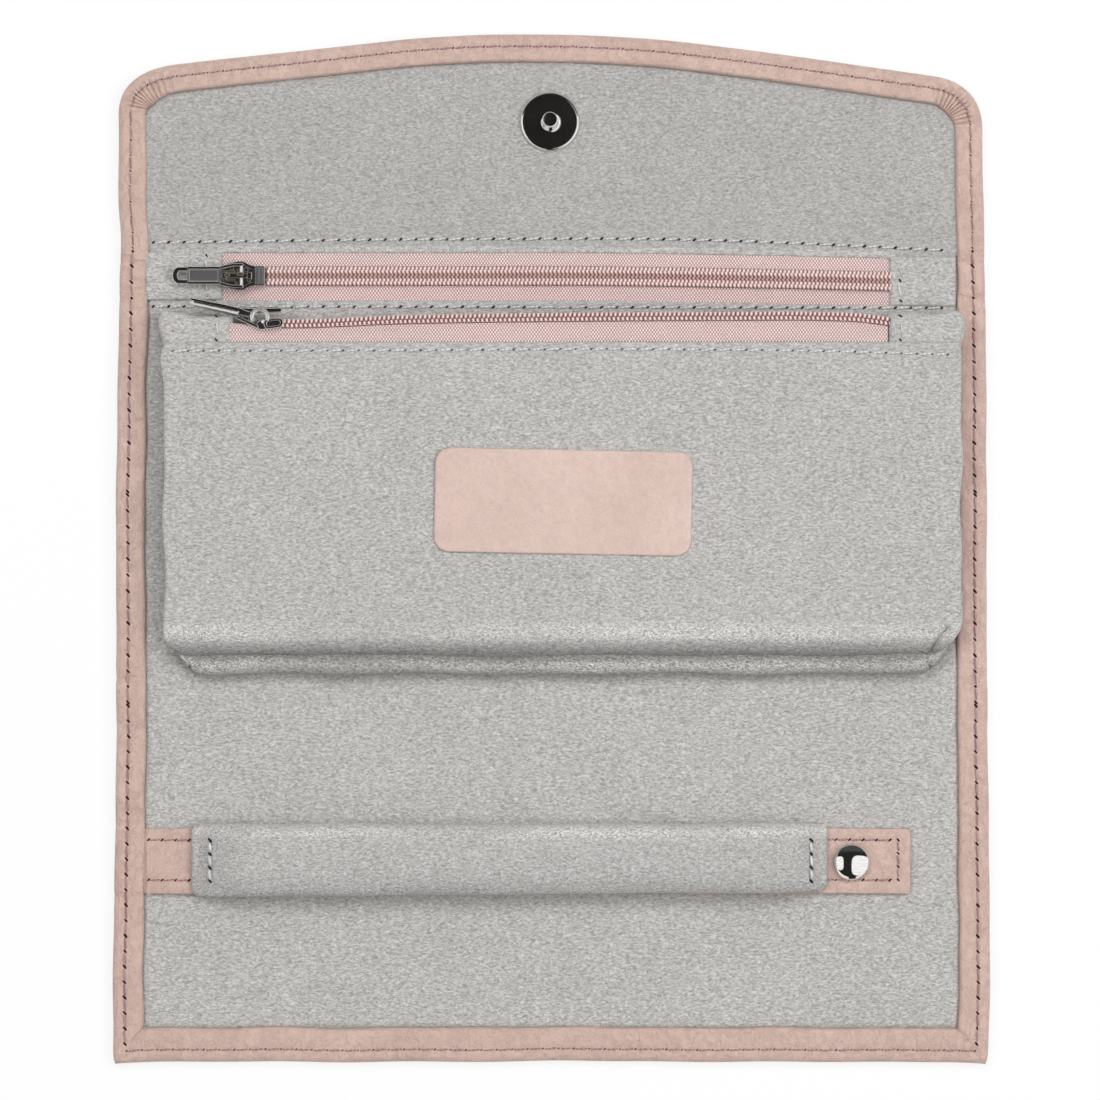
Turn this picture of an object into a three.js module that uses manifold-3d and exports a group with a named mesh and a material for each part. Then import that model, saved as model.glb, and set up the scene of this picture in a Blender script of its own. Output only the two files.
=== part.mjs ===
// A folding jewelry roll, laid open and flat on z = 0, in millimetres.
// X runs to the right, Y towards the arched end of the flap, Z up.
// The outer leather faces down and the suede lining faces up. Along Y lie the front, the bottom
// spine, the back, the top spine and the flap. The front folds over the back, then the flap over both.
import * as THREE from "three";
import { mergeVertices } from "three/addons/utils/BufferGeometryUtils.js";
import Module from "manifold-3d";

const wasm = await Module();
wasm.setup();

// The case, seen from above
const WIDTH_TOP = 203;
const WIDTH_BOTTOM = 206.2;
const FLAP_LENGTH = 47;
const TOP_SPINE_LENGTH = 15.8;
const BACK_LENGTH = 88.5;
const BOTTOM_SPINE_LENGTH = 12;
const FRONT_LENGTH = 78.3;
const ARCH_RADIUS = 480;
const CORNER_RADIUS = 11.5;
const MARGIN_WIDTH = 6.6;
const FRONT_MARGIN_WIDTH = 8;
const MARGIN_CORNER_RADIUS = 8;
const FOLD_SLIT = 0.3;

// The layers, from the outside in
const LEATHER = 1;
const BOARD = 0.8;
const LINING = 0.7;
const POCKET_PLY = 0.25;
const BOARD_INSET = 3;
const BOARD_FOLD_GAP = 1.5;
const CLEARANCE = 0.3;

// Zips, the same for both
const CHAIN_WIDTH = 4;
const CHAIN_THICKNESS = 1.5;
const TAPE_THICKNESS = 0.5;
const TAPE_GAP = 1.4;

// Zip slider, its length along X, its outer face up
const SLIDER_LENGTH = 10.1;
const SLIDER_WIDTH = 7;
const SLIDER_NOSE_WIDTH = 5.2;
const SLIDER_TAIL_WIDTH = 4.8;
const PLATE = 0.7;
const PLATE_TAPE_GAP = 0.25;
const PLATE_CHAIN_GAP = 0.1;
const FLANGE_CHAIN_GAP = 0.15;
const POST_LENGTH = 2;
const POST_SETBACK = 0.85;
const CROWN_LENGTH = 5.2;
const CROWN_WIDTH = 1.8;
const CROWN_FOOT = 1.4;
const CROWN_WINDOW = 0.95;
const CROWN_BAR = 0.45;

// Zip pull, from its cross bar to its rounded tip
const PULL_LENGTH = 16.7;
const PULL_WIDTH = 4.2;
const PULL_THICKNESS = 1;
const FORK_WIDTH = 6.8;
const FORK_OPENING = 4;
const FORK_LENGTH = 5.2;
const FORK_BRIDGE = 1;
const FORK_THICKNESS = 0.6;
const CROSS_BAR_RADIUS = 0.3;
const PULL_HOLE_LENGTH = 2.6;
const PULL_HOLE_WIDTH = 2.4;
const PULL_HOLE_FROM_TIP = 1.3;
const PULL_HOLE_ROUND_SHARE = 0.9;

// First zip, flat in the top spine
const ZIP1_FROM_FOLD = 6;
const ZIP1_WINDOW_ABOVE_CHAIN = 5.5;
const END_PATCH_THICKNESS = 0.7;
const END_PATCH_LEFT_LENGTH = 17.8;
const END_PATCH_RIGHT_LENGTH = 15.1;
const POCKET_DEPTH = 60;

// Pouch on the back, with the second zip on edge along its top
const POUCH_CENTRE_X = 3.1;
const POUCH_WIDTH = 186.4;
const POUCH_BELOW_HEM = 70.9;
const POUCH_HEIGHT = 7.2;
const POUCH_SHEET = 0.8;
const POUCH_LEFT_CORNER = 6;
const POUCH_RIGHT_CORNER = 10;
const HEM_FROM_FOLD = 12;
const HEM_WIDTH = 1.4;
const ZIP2_FROM_FOLD = 4.6;
const ZIP2_SLIDER_FROM_PATCH = 6.9;
const ZIP2_CHAIN_BELOW_SHEET = 1.1;
const ZIP2_PULL_TILT_DEGREES = 7;
const RIM_PATCH_THICKNESS = 0.6;
const RIM_PATCH_WIDTH = 8.1;
const RIM_PATCH_CORNER = 2;
const RIM_PATCH_LEFT_LENGTH = 15.2;
const RIM_PATCH_RIGHT_LENGTH = 16.5;
const RIM_PATCH_WALL = 0.7;
const RIM_PATCH_WALL_WIDTH = 4.9;
const SLIDER_NOTCH_GAP = 0.4;

// Bellows gusset, a ribbon round the pouch's sides and bottom
const GUSSET_THICKNESS = 0.7;
const GUSSET_CORNER = 9.5;
const GUSSET_FOOT = 2.4;
const GUSSET_SET_IN = 3.4;
const GUSSET_SIDE_RIDGE = -1;
const GUSSET_BOTTOM_RIDGE = 3.4;
const GUSSET_LIP = 3;

// Leather label on the pouch
const LABEL_LENGTH = 60.2;
const LABEL_WIDTH = 24.4;
const LABEL_CORNER = 3.6;
const LABEL_THICKNESS = 0.7;
const LABEL_FROM_HEM = 35.1;
const LABEL_TURN_DEGREES = -1.1;

// Magnetic closure: male disc on the flap, female plate in the front
const MAGNET_RADIUS = 7;
const MAGNET_THICKNESS = 1;
const MAGNET_FROM_EDGE = 20.6;
const MAGNET_NUB_RADIUS = 2.15;
const MAGNET_NUB_HEIGHT = 0.9;
const MAGNET_BORE_RADIUS = 2.5;
const PRONG_WIDTH = 3;
const PRONG_THICKNESS = 0.8;
const PRONG_SPREAD = 7.6;

// Ring bar on the front: a strap with a stuffed roll, hinged at its left end
const STRAP_WIDTH = 15.3;
const STRAP_LAYER = 0.7;
const STRAP_FROM_FOLD = 31.05;
const STRAP_HINGE_FROM_MARGIN = 1.4;
const STRAP_END_FROM_MARGIN = 10.2;
const STRAP_END_RADIUS = 3;
const STRAP_ROOT_LENGTH = 7.7;
const PAD_FROM_HINGE = 9.3;
const PAD_FROM_STRAP_END = 19.3;
const PAD_WIDTH = 17.6;
const PAD_HEIGHT = 9;
const PAD_OFFSET = 0.6;

// Ring bar's snap
const SNAP_FROM_STRAP_END = 14;
const SNAP_CAP_RADIUS = 4.33;
const SNAP_CAP_HEIGHT = 2.8;
const SNAP_SOCKET_RADIUS = 3.4;
const SNAP_BORE_RADIUS = 2;
const SNAP_HEAD_HEIGHT = 1.1;

// Making of the shapes
const OVERRUN = 5;
const MERGE_TOLERANCE = 1e-4;
const ARCH_STEPS = 20;
const CORNER_STEPS = 6;
const ROUND_SIDES = 32;
const SMALL_SIDES = 12;

// Places along Y, from the overall length's middle
const LENGTH =
  FLAP_LENGTH + TOP_SPINE_LENGTH + BACK_LENGTH + BOTTOM_SPINE_LENGTH + FRONT_LENGTH;
const TOP_Y = LENGTH / 2;
const FLAP_Y = TOP_Y - FLAP_LENGTH;
const BACK_TOP_Y = FLAP_Y - TOP_SPINE_LENGTH;
const BACK_BOTTOM_Y = BACK_TOP_Y - BACK_LENGTH;
const FRONT_Y = BACK_BOTTOM_Y - BOTTOM_SPINE_LENGTH;
const BOTTOM_Y = FRONT_Y - FRONT_LENGTH;
const ZIP1_Y = BACK_TOP_Y + ZIP1_FROM_FOLD;
const ZIP2_Y = BACK_TOP_Y - ZIP2_FROM_FOLD;
const HEM_Y = BACK_TOP_Y - HEM_FROM_FOLD;
const MAGNET_Y = TOP_Y - MAGNET_FROM_EDGE;
const STRAP_Y = FRONT_Y - STRAP_FROM_FOLD;
// Folded, the front turns over once and the flap comes down on it, so the plate lies where the
// male disc lands.
const MAGNET_LANDING_Y = BACK_TOP_Y - (MAGNET_Y - FLAP_Y);
const PLATE_Y = FRONT_Y - (MAGNET_LANDING_Y - BACK_BOTTOM_Y);

// Places along X, from the margin's inner edge or from the pouch's sides
const FIELD_X = WIDTH_TOP / 2 - MARGIN_WIDTH;
const ZIP_LEFT = -FIELD_X + END_PATCH_LEFT_LENGTH;
const ZIP_RIGHT = FIELD_X - END_PATCH_RIGHT_LENGTH;
const ZIP1_SLIDER_X = ZIP_LEFT + CLEARANCE + SLIDER_LENGTH / 2;
const POUCH_LEFT = POUCH_CENTRE_X - POUCH_WIDTH / 2;
const POUCH_RIGHT = POUCH_CENTRE_X + POUCH_WIDTH / 2;
const ZIP2_LEFT = POUCH_LEFT + RIM_PATCH_LEFT_LENGTH;
const ZIP2_RIGHT = POUCH_RIGHT - RIM_PATCH_RIGHT_LENGTH;
const ZIP2_SLIDER_X = ZIP2_LEFT + ZIP2_SLIDER_FROM_PATCH;
const STRAP_HINGE_X = STRAP_HINGE_FROM_MARGIN - FIELD_X;
const STRAP_END_X = FIELD_X - STRAP_END_FROM_MARGIN;
const PAD_LEFT = STRAP_HINGE_X + PAD_FROM_HINGE;
const PAD_LENGTH = STRAP_END_X - PAD_FROM_STRAP_END - PAD_LEFT;
const SNAP_X = STRAP_END_X - SNAP_FROM_STRAP_END;

// Heights
const LINING_Z = LEATHER + BOARD;
const SUEDE_Z = LINING_Z + LINING;
const MARGIN_Z = SUEDE_Z + LEATHER;
const STRAP_MID_Z = SUEDE_Z + STRAP_LAYER;
const STRAP_TOP_Z = STRAP_MID_Z + STRAP_LAYER;
const POUCH_Z = SUEDE_Z + POUCH_HEIGHT;
const POUCH_TOP_Z = POUCH_Z + POUCH_SHEET;
const RIM_TOP_Z = POUCH_Z - PLATE_TAPE_GAP;
const RIM_Z = RIM_TOP_Z - RIM_PATCH_THICKNESS;
const ZIP2_Z = POUCH_Z - ZIP2_CHAIN_BELOW_SHEET;

// The slider's own heights, from its lower face
const TAPE_LOW = PLATE + PLATE_TAPE_GAP;
const CHAIN_LOW = TAPE_LOW + TAPE_THICKNESS;
const CHAIN_HIGH = CHAIN_LOW + CHAIN_THICKNESS;
const OUTER_PLATE_LOW = CHAIN_HIGH + PLATE_CHAIN_GAP;
const OUTER_PLATE_HIGH = OUTER_PLATE_LOW + PLATE;
const PIVOT_HEIGHT = OUTER_PLATE_HIGH + CROWN_WINDOW / 2;
const CROWN_HIGH = OUTER_PLATE_HIGH + CROWN_WINDOW + CROWN_BAR;
const ZIP1_BASE_Z = SUEDE_Z - CHAIN_LOW;
const ZIP2_BASE_Y = ZIP2_Y - CHAIN_LOW - CHAIN_THICKNESS / 2;

// Materials
const finish = (color, roughness, metalness) =>
  new THREE.MeshStandardMaterial({ color, roughness, metalness });
const makeLeather = () => finish(0xd0b0a4, 0.55, 0);
const makeSuede = () => finish(0xb6b4b0, 0.95, 0);
const makeBoard = () => finish(0x8f8a82, 0.9, 0);
const makeTape = () => finish(0xdcb2b0, 0.85, 0);
const makeCoil = () => finish(0xe0bcb8, 0.5, 0);
const makeNickel = () => finish(0x4a484a, 0.2, 1);
const makeChrome = () => finish(0xc8c8cc, 0.1, 1);
const makeMagnet = () => finish(0x3a3a3c, 0.4, 1);

// A closed geometry as a solid that can be joined and cut
function toSolid(geometry) {
  const bare = geometry.clone();
  bare.deleteAttribute("normal");
  bare.deleteAttribute("uv");
  const merged = mergeVertices(bare, MERGE_TOLERANCE);
  return new wasm.Manifold(
    new wasm.Mesh({
      numProp: 3,
      vertProperties: merged.attributes.position.array,
      triVerts: new Uint32Array(merged.index.array),
    }),
  );
}

function toGeometry(solid) {
  const mesh = solid.getMesh();
  const geometry = new THREE.BufferGeometry();
  geometry.setAttribute("position", new THREE.BufferAttribute(mesh.vertProperties, mesh.numProp));
  geometry.setIndex(new THREE.BufferAttribute(mesh.triVerts, 1));
  geometry.computeVertexNormals();
  return geometry;
}

// An upright prism over an outline. Its two faces lie exactly at low and high, so that pieces
// stacked on each other meet without sharing any space.
function prism(outline, low, high, holes = []) {
  const shape = new THREE.Shape(outline);
  shape.holes = holes.map((hole) => new THREE.Path(hole));
  const geometry = new THREE.ExtrudeGeometry(shape, { depth: high - low, bevelEnabled: false });
  const position = geometry.attributes.position;
  for (let i = 0; i < position.count; i++) {
    position.setZ(i, position.getZ(i) > 0 ? high : low);
  }
  return toSolid(geometry);
}

function rectangle(left, right, near, far) {
  return [
    new THREE.Vector2(left, near),
    new THREE.Vector2(right, near),
    new THREE.Vector2(right, far),
    new THREE.Vector2(left, far),
  ];
}

const block = (left, right, near, far, low, high) => prism(rectangle(left, right, near, far), low, high);

function arcPoints(centreX, centreY, radius, from, to, steps) {
  return Array.from({ length: steps + 1 }, (_, i) => {
    const angle = from + ((to - from) * i) / steps;
    return new THREE.Vector2(centreX + radius * Math.cos(angle), centreY + radius * Math.sin(angle));
  });
}

const circle = (x, y, radius, sides = ROUND_SIDES) =>
  arcPoints(x, y, radius, 0, 2 * Math.PI, sides).slice(0, sides);

// A rectangle with a radius for each corner: near left, near right, far right, far left
function roundedRectangle(left, right, near, far, radii) {
  const corners = [
    [left, near, 1, 1],
    [right, near, -1, 1],
    [right, far, -1, -1],
    [left, far, 1, -1],
  ];
  return corners.flatMap(([x, y, inX, inY], i) => {
    const start = Math.PI + (i * Math.PI) / 2;
    const centreX = x + inX * radii[i];
    const centreY = y + inY * radii[i];
    return arcPoints(centreX, centreY, radii[i], start, start + Math.PI / 2, CORNER_STEPS);
  });
}

// The case's outline, drawn in by an inset at the sides and top and another at the bottom
function caseOutline(inset, bottomInset, cornerRadius) {
  const archY = TOP_Y - ARCH_RADIUS;
  const archRadius = ARCH_RADIUS - inset;
  const cornerX = WIDTH_TOP / 2 - inset - cornerRadius;
  const cornerY = archY + Math.sqrt((archRadius - cornerRadius) ** 2 - cornerX ** 2);
  const meeting = Math.atan2(cornerY - archY, cornerX);
  const bottomX = WIDTH_BOTTOM / 2 - inset;
  const bottomY = BOTTOM_Y + bottomInset;
  return [
    new THREE.Vector2(-bottomX, bottomY),
    new THREE.Vector2(bottomX, bottomY),
    ...arcPoints(cornerX, cornerY, cornerRadius, 0, meeting, CORNER_STEPS),
    ...arcPoints(0, archY, archRadius, meeting, Math.PI - meeting, ARCH_STEPS).slice(1, -1),
    ...arcPoints(-cornerX, cornerY, cornerRadius, Math.PI - meeting, Math.PI, CORNER_STEPS),
  ];
}

// The stretch of a solid between two places along Y
function between(solid, near, far) {
  const side = Math.max(WIDTH_TOP, WIDTH_BOTTOM) / 2 + OVERRUN;
  return solid.intersect(block(-side, side, near, far, -OVERRUN, MARGIN_Z + OVERRUN));
}

// Each panel or spine with its two fold lines
const SEGMENTS = {
  flap: [FLAP_Y, TOP_Y + OVERRUN],
  top_spine: [BACK_TOP_Y, FLAP_Y],
  back: [BACK_BOTTOM_Y, BACK_TOP_Y],
  bottom_spine: [FRONT_Y, BACK_BOTTOM_Y],
  front: [BOTTOM_Y - OVERRUN, FRONT_Y],
};

// Groups, one for each body that moves as one
const bodies = {};
const roll = new THREE.Group();
for (const name of [
  ...Object.keys(SEGMENTS),
  "ring_bar",
  "pouch_front",
  "pouch_rim",
  "zip1",
  "zip2",
]) {
  bodies[name] = new THREE.Group();
  roll.add(bodies[name]);
}

function addPiece(body, name, solid, material) {
  const mesh = new THREE.Mesh(toGeometry(solid), material);
  mesh.name = name;
  bodies[body].add(mesh);
  return mesh;
}

// Places where the magnet's and the snap's hidden parts go through the layers
const magnetSeat = (y) => circle(0, y, MAGNET_RADIUS + CLEARANCE);
const studSeat = circle(SNAP_X, STRAP_Y, SNAP_SOCKET_RADIUS + CLEARANCE);
const prongs = [-1, 1].map((side) => side * (PRONG_SPREAD / 2));

function prongBlock(x, gap, low, high) {
  const halfThickness = PRONG_THICKNESS / 2 + gap;
  const halfWidth = PRONG_WIDTH / 2 + gap;
  return block(
    x - halfThickness,
    x + halfThickness,
    MAGNET_Y - halfWidth,
    MAGNET_Y + halfWidth,
    low,
    high,
  );
}

// Leather cover, turned up at the edge and back over the lining as a margin
function addCovers() {
  const whole = prism(caseOutline(0, 0, CORNER_RADIUS), 0, MARGIN_Z);
  const hollow = prism(caseOutline(LEATHER, LEATHER, CORNER_RADIUS - LEATHER), LEATHER, SUEDE_Z);
  const field = prism(
    caseOutline(MARGIN_WIDTH, FRONT_MARGIN_WIDTH, MARGIN_CORNER_RADIUS),
    SUEDE_Z,
    MARGIN_Z + OVERRUN,
  );
  const cover = whole.subtract(hollow).subtract(field);
  const plateHole = prism(magnetSeat(PLATE_Y), -OVERRUN, LINING_Z);
  for (const [name, [near, far]] of Object.entries(SEGMENTS)) {
    const piece = between(cover, near + FOLD_SLIT / 2, far - FOLD_SLIT / 2);
    const finished = name === "front" ? piece.subtract(plateHole) : piece;
    addPiece(name, "cover_" + name, finished, makeLeather());
  }
}

// The flat pocket's bag lies in a shallow step of the back's board
const bagOutline = (gap) =>
  rectangle(
    ZIP_LEFT - gap,
    ZIP_RIGHT + gap,
    BACK_TOP_Y - POCKET_DEPTH - gap,
    BACK_TOP_Y - BOARD_FOLD_GAP + gap,
  );

function addBoards() {
  const sheet = prism(
    caseOutline(BOARD_INSET, BOARD_INSET, CORNER_RADIUS - BOARD_INSET),
    LEATHER,
    LINING_Z,
  );
  const cuts = {
    flap: prism(magnetSeat(MAGNET_Y), 0, SUEDE_Z),
    back: prism(bagOutline(CLEARANCE), LINING_Z - POCKET_PLY, SUEDE_Z),
    front: prism(magnetSeat(PLATE_Y), 0, SUEDE_Z).add(prism(studSeat, 0, SUEDE_Z)),
  };
  for (const [name, cut] of Object.entries(cuts)) {
    const [near, far] = SEGMENTS[name];
    const board = between(sheet, near + BOARD_FOLD_GAP, far - BOARD_FOLD_GAP);
    addPiece(name, "board_" + name, board.subtract(cut), makeBoard());
  }
  const bag = prism(bagOutline(0), LINING_Z - POCKET_PLY, LINING_Z);
  addPiece("back", "zip1_pocket_bag", bag, makeTape());
}

// Where the ring bar's root passes down into the front's lining
const ROOT_LEFT = STRAP_HINGE_X - STRAP_ROOT_LENGTH;
const rootRight = STRAP_HINGE_X - CLEARANCE;

function addLinings() {
  const inset = LEATHER + CLEARANCE;
  const sheet = prism(caseOutline(inset, inset, CORNER_RADIUS - inset), LINING_Z, SUEDE_Z);
  const halfStrap = STRAP_WIDTH / 2 + CLEARANCE;
  const prongHoles = prongs.map((x) => prongBlock(x, CLEARANCE, LEATHER, MARGIN_Z));
  const cuts = {
    flap: prongHoles[0].add(prongHoles[1]),
    top_spine: block(
      ZIP_LEFT,
      ZIP_RIGHT,
      BACK_TOP_Y - OVERRUN,
      ZIP1_Y + ZIP1_WINDOW_ABOVE_CHAIN,
      LEATHER,
      MARGIN_Z,
    ),
    front: prism(studSeat, LEATHER, MARGIN_Z).add(
      block(
        ROOT_LEFT - CLEARANCE,
        rootRight + CLEARANCE,
        STRAP_Y - halfStrap,
        STRAP_Y + halfStrap,
        LEATHER,
        MARGIN_Z,
      ),
    ),
  };
  for (const [name, [near, far]] of Object.entries(SEGMENTS)) {
    const lining = between(sheet, near + FOLD_SLIT / 2, far - FOLD_SLIT / 2);
    const finished = cuts[name] ? lining.subtract(cuts[name]) : lining;
    addPiece(name, "lining_" + name, finished, makeSuede());
  }
}

// The slider's outline, its nose to the left, its length along X about the middle
function sliderOutline() {
  const half = SLIDER_LENGTH / 2;
  const outline = [
    [-half, -SLIDER_NOSE_WIDTH / 2],
    [0, -SLIDER_WIDTH / 2],
    [half, -SLIDER_TAIL_WIDTH / 2],
    [half, SLIDER_TAIL_WIDTH / 2],
    [0, SLIDER_WIDTH / 2],
    [-half, SLIDER_NOSE_WIDTH / 2],
  ];
  return outline.map(([x, y]) => new THREE.Vector2(x, y));
}

// Two plates joined by a post at the nose, with side flanges and a crown for the pull
function makeSlider() {
  const half = SLIDER_LENGTH / 2;
  const outline = sliderOutline();
  const chainHalf = CHAIN_WIDTH / 2 + FLANGE_CHAIN_GAP;
  const innerPlate = prism(outline, 0, PLATE);
  const outerPlate = prism(outline, CHAIN_LOW + CLEARANCE, OUTER_PLATE_HIGH);
  const channel = block(-SLIDER_LENGTH, SLIDER_LENGTH, -chainHalf, chainHalf, 0, OUTER_PLATE_LOW);
  const postHalf = TAPE_GAP / 2 - CLEARANCE;
  const postLeft = POST_SETBACK - half;
  const post = block(
    postLeft,
    postLeft + POST_LENGTH,
    -postHalf,
    postHalf,
    PLATE / 2,
    OUTER_PLATE_LOW + PLATE / 2,
  );
  const crownHalf = CROWN_LENGTH / 2;
  const footInside = crownHalf - CROWN_FOOT;
  const crownSide = CROWN_WIDTH / 2;
  const crownLow = OUTER_PLATE_HIGH - PLATE / 2;
  const crown = block(-crownHalf, crownHalf, -crownSide, crownSide, crownLow, CROWN_HIGH);
  const window = block(
    -footInside,
    footInside,
    -CROWN_WIDTH,
    CROWN_WIDTH,
    OUTER_PLATE_HIGH,
    OUTER_PLATE_HIGH + CROWN_WINDOW,
  );
  return outerPlate.subtract(channel).add(innerPlate).add(post).add(crown.subtract(window));
}

// The pull, its cross bar along Y at the origin and its plate towards -X
function makePull() {
  const plateHalf = PULL_WIDTH / 2;
  const plateRadii = [plateHalf, 0, 0, plateHalf];
  const outline = roundedRectangle(-PULL_LENGTH, -FORK_LENGTH, -plateHalf, plateHalf, plateRadii);
  const holeLeft = PULL_HOLE_FROM_TIP - PULL_LENGTH;
  const holeHalf = PULL_HOLE_WIDTH / 2;
  const holeRadii = [holeHalf, 0, 0, holeHalf].map((radius) => radius * PULL_HOLE_ROUND_SHARE);
  const hole = roundedRectangle(holeLeft, holeLeft + PULL_HOLE_LENGTH, -holeHalf, holeHalf, holeRadii);
  const plate = prism(outline, -FORK_THICKNESS / 2, PULL_THICKNESS - FORK_THICKNESS / 2, [hole]);
  const forkHalf = FORK_WIDTH / 2;
  const forkRadii = [FORK_BRIDGE, 0, 0, FORK_BRIDGE];
  const openingHalf = FORK_OPENING / 2;
  const fork = prism(
    roundedRectangle(-FORK_LENGTH - FORK_BRIDGE, CROSS_BAR_RADIUS, -forkHalf, forkHalf, forkRadii),
    -FORK_THICKNESS / 2,
    FORK_THICKNESS / 2,
    [rectangle(-FORK_LENGTH, -CROSS_BAR_RADIUS, -openingHalf, openingHalf)],
  );
  return plate.add(fork);
}

// First zip, flat in the top spine's window
function addFirstZip() {
  const near = BACK_TOP_Y + FOLD_SLIT / 2;
  const windowTop = ZIP1_Y + ZIP1_WINDOW_ABOVE_CHAIN;
  const tapeLow = SUEDE_Z - TAPE_THICKNESS;
  const left = ZIP_LEFT + CLEARANCE;
  const right = ZIP_RIGHT - CLEARANCE;
  const chainLeft = ZIP1_SLIDER_X + SLIDER_LENGTH / 2 + CLEARANCE;
  const halfChain = CHAIN_WIDTH / 2;
  const lower = block(left, right, near, ZIP1_Y - TAPE_GAP / 2, tapeLow, SUEDE_Z);
  const upper = block(left, right, ZIP1_Y + TAPE_GAP / 2, windowTop - CLEARANCE, tapeLow, SUEDE_Z);
  const chain = block(
    chainLeft,
    right,
    ZIP1_Y - halfChain,
    ZIP1_Y + halfChain,
    SUEDE_Z,
    SUEDE_Z + CHAIN_THICKNESS,
  );
  addPiece("top_spine", "zip1_tape_lower", lower, makeTape());
  addPiece("top_spine", "zip1_tape_upper", upper, makeTape());
  addPiece("top_spine", "zip1_chain", chain, makeCoil());
  const marginX = FIELD_X - CLEARANCE;
  const patchTop = SUEDE_Z + END_PATCH_THICKNESS;
  const patchLeft = block(-marginX, ZIP_LEFT, near, windowTop, SUEDE_Z, patchTop);
  const patchRight = block(ZIP_RIGHT, marginX, near, windowTop, SUEDE_Z, patchTop);
  addPiece("top_spine", "zip1_patch_left", patchLeft, makeSuede());
  addPiece("top_spine", "zip1_patch_right", patchRight, makeSuede());
  const slider = addPiece("zip1", "zip1_slider", makeSlider(), makeNickel());
  slider.position.set(ZIP1_SLIDER_X, ZIP1_Y, ZIP1_BASE_Z);
  const pull = addPiece("zip1", "zip1_pull", makePull(), makeNickel());
  pull.position.set(ZIP1_SLIDER_X, ZIP1_Y, ZIP1_BASE_Z + PIVOT_HEIGHT);
}

// A patch at each end of the second zip, with a short wall down at the pouch's side
function addRimPatch(name, left, right, outerX) {
  const far = HEM_Y + CLEARANCE + RIM_PATCH_WIDTH;
  const outerLeft = outerX === left;
  const radii = outerLeft ? [0, 0, 0, RIM_PATCH_CORNER] : [0, 0, RIM_PATCH_CORNER, 0];
  const top = prism(
    roundedRectangle(left, right, HEM_Y + CLEARANCE, far, radii),
    RIM_Z,
    RIM_TOP_Z,
  );
  const wallFar = far - RIM_PATCH_CORNER;
  const wall = block(
    outerLeft ? left : right - RIM_PATCH_WALL,
    outerLeft ? left + RIM_PATCH_WALL : right,
    far - RIM_PATCH_WALL_WIDTH,
    wallFar,
    MARGIN_Z + CLEARANCE,
    RIM_TOP_Z,
  );
  addPiece("pouch_rim", name, top.add(wall), makeSuede());
}

// Second zip, on edge along the pouch's top
function addSecondZip() {
  addRimPatch("zip2_patch_left", POUCH_LEFT, ZIP2_LEFT, POUCH_LEFT);
  addRimPatch("zip2_patch_right", ZIP2_RIGHT, POUCH_RIGHT, POUCH_RIGHT);
  const left = ZIP2_LEFT + CLEARANCE;
  const right = ZIP2_RIGHT - CLEARANCE;
  const halfChain = CHAIN_WIDTH / 2;
  const chainNear = ZIP2_BASE_Y + CHAIN_LOW;
  const halfSlider = SLIDER_LENGTH / 2;
  const chain = block(
    ZIP2_SLIDER_X + halfSlider + CLEARANCE,
    right,
    chainNear,
    chainNear + CHAIN_THICKNESS,
    ZIP2_Z - halfChain,
    ZIP2_Z + halfChain,
  );
  addPiece("pouch_rim", "zip2_chain", chain, makeCoil());
  const front = block(left, right, HEM_Y + CLEARANCE, chainNear, RIM_Z, RIM_TOP_Z);
  const notch = block(
    ZIP2_SLIDER_X - halfSlider - SLIDER_NOTCH_GAP,
    ZIP2_SLIDER_X + halfSlider + SLIDER_NOTCH_GAP,
    ZIP2_BASE_Y - SLIDER_NOTCH_GAP,
    chainNear + OVERRUN,
    RIM_Z - OVERRUN,
    RIM_TOP_Z + OVERRUN,
  );
  addPiece("pouch_rim", "zip2_tape_front", front.subtract(notch), makeTape());
  const back = block(
    left,
    right,
    ZIP2_BASE_Y + TAPE_LOW,
    chainNear,
    SUEDE_Z + CLEARANCE,
    ZIP2_Z - TAPE_GAP / 2,
  );
  addPiece("pouch_rim", "zip2_tape_back", back, makeTape());
  const slider = addPiece("zip2", "zip2_slider", makeSlider(), makeNickel());
  slider.position.set(ZIP2_SLIDER_X, ZIP2_BASE_Y, ZIP2_Z);
  slider.rotation.x = -Math.PI / 2;
  const pull = addPiece("zip2", "zip2_pull", makePull(), makeNickel());
  pull.position.set(ZIP2_SLIDER_X, ZIP2_BASE_Y + PIVOT_HEIGHT, ZIP2_Z);
  pull.rotation.order = "ZYX";
  pull.rotation.x = -Math.PI / 2;
  pull.rotation.z = THREE.MathUtils.degToRad(-ZIP2_PULL_TILT_DEGREES);
}

// A thin ribbon's closed outline about a line of points, its thickness square to the line
function ribbonOutline(line, thickness) {
  const half = thickness / 2;
  const sides = line.map((point, i) => {
    const before = line[Math.max(i - 1, 0)];
    const after = line[Math.min(i + 1, line.length - 1)];
    const into = (i > 0 ? point : after).clone().sub(i > 0 ? before : point).normalize();
    const out = (i < line.length - 1 ? after : point)
      .clone()
      .sub(i < line.length - 1 ? point : before)
      .normalize();
    const along = into.clone().add(out).normalize();
    const reach = half / along.dot(into);
    return new THREE.Vector2(-along.y, along.x).multiplyScalar(reach);
  });
  const upper = line.map((point, i) => point.clone().add(sides[i]));
  const lower = line.map((point, i) => point.clone().sub(sides[i]));
  return [...upper, ...lower.reverse()];
}

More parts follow.
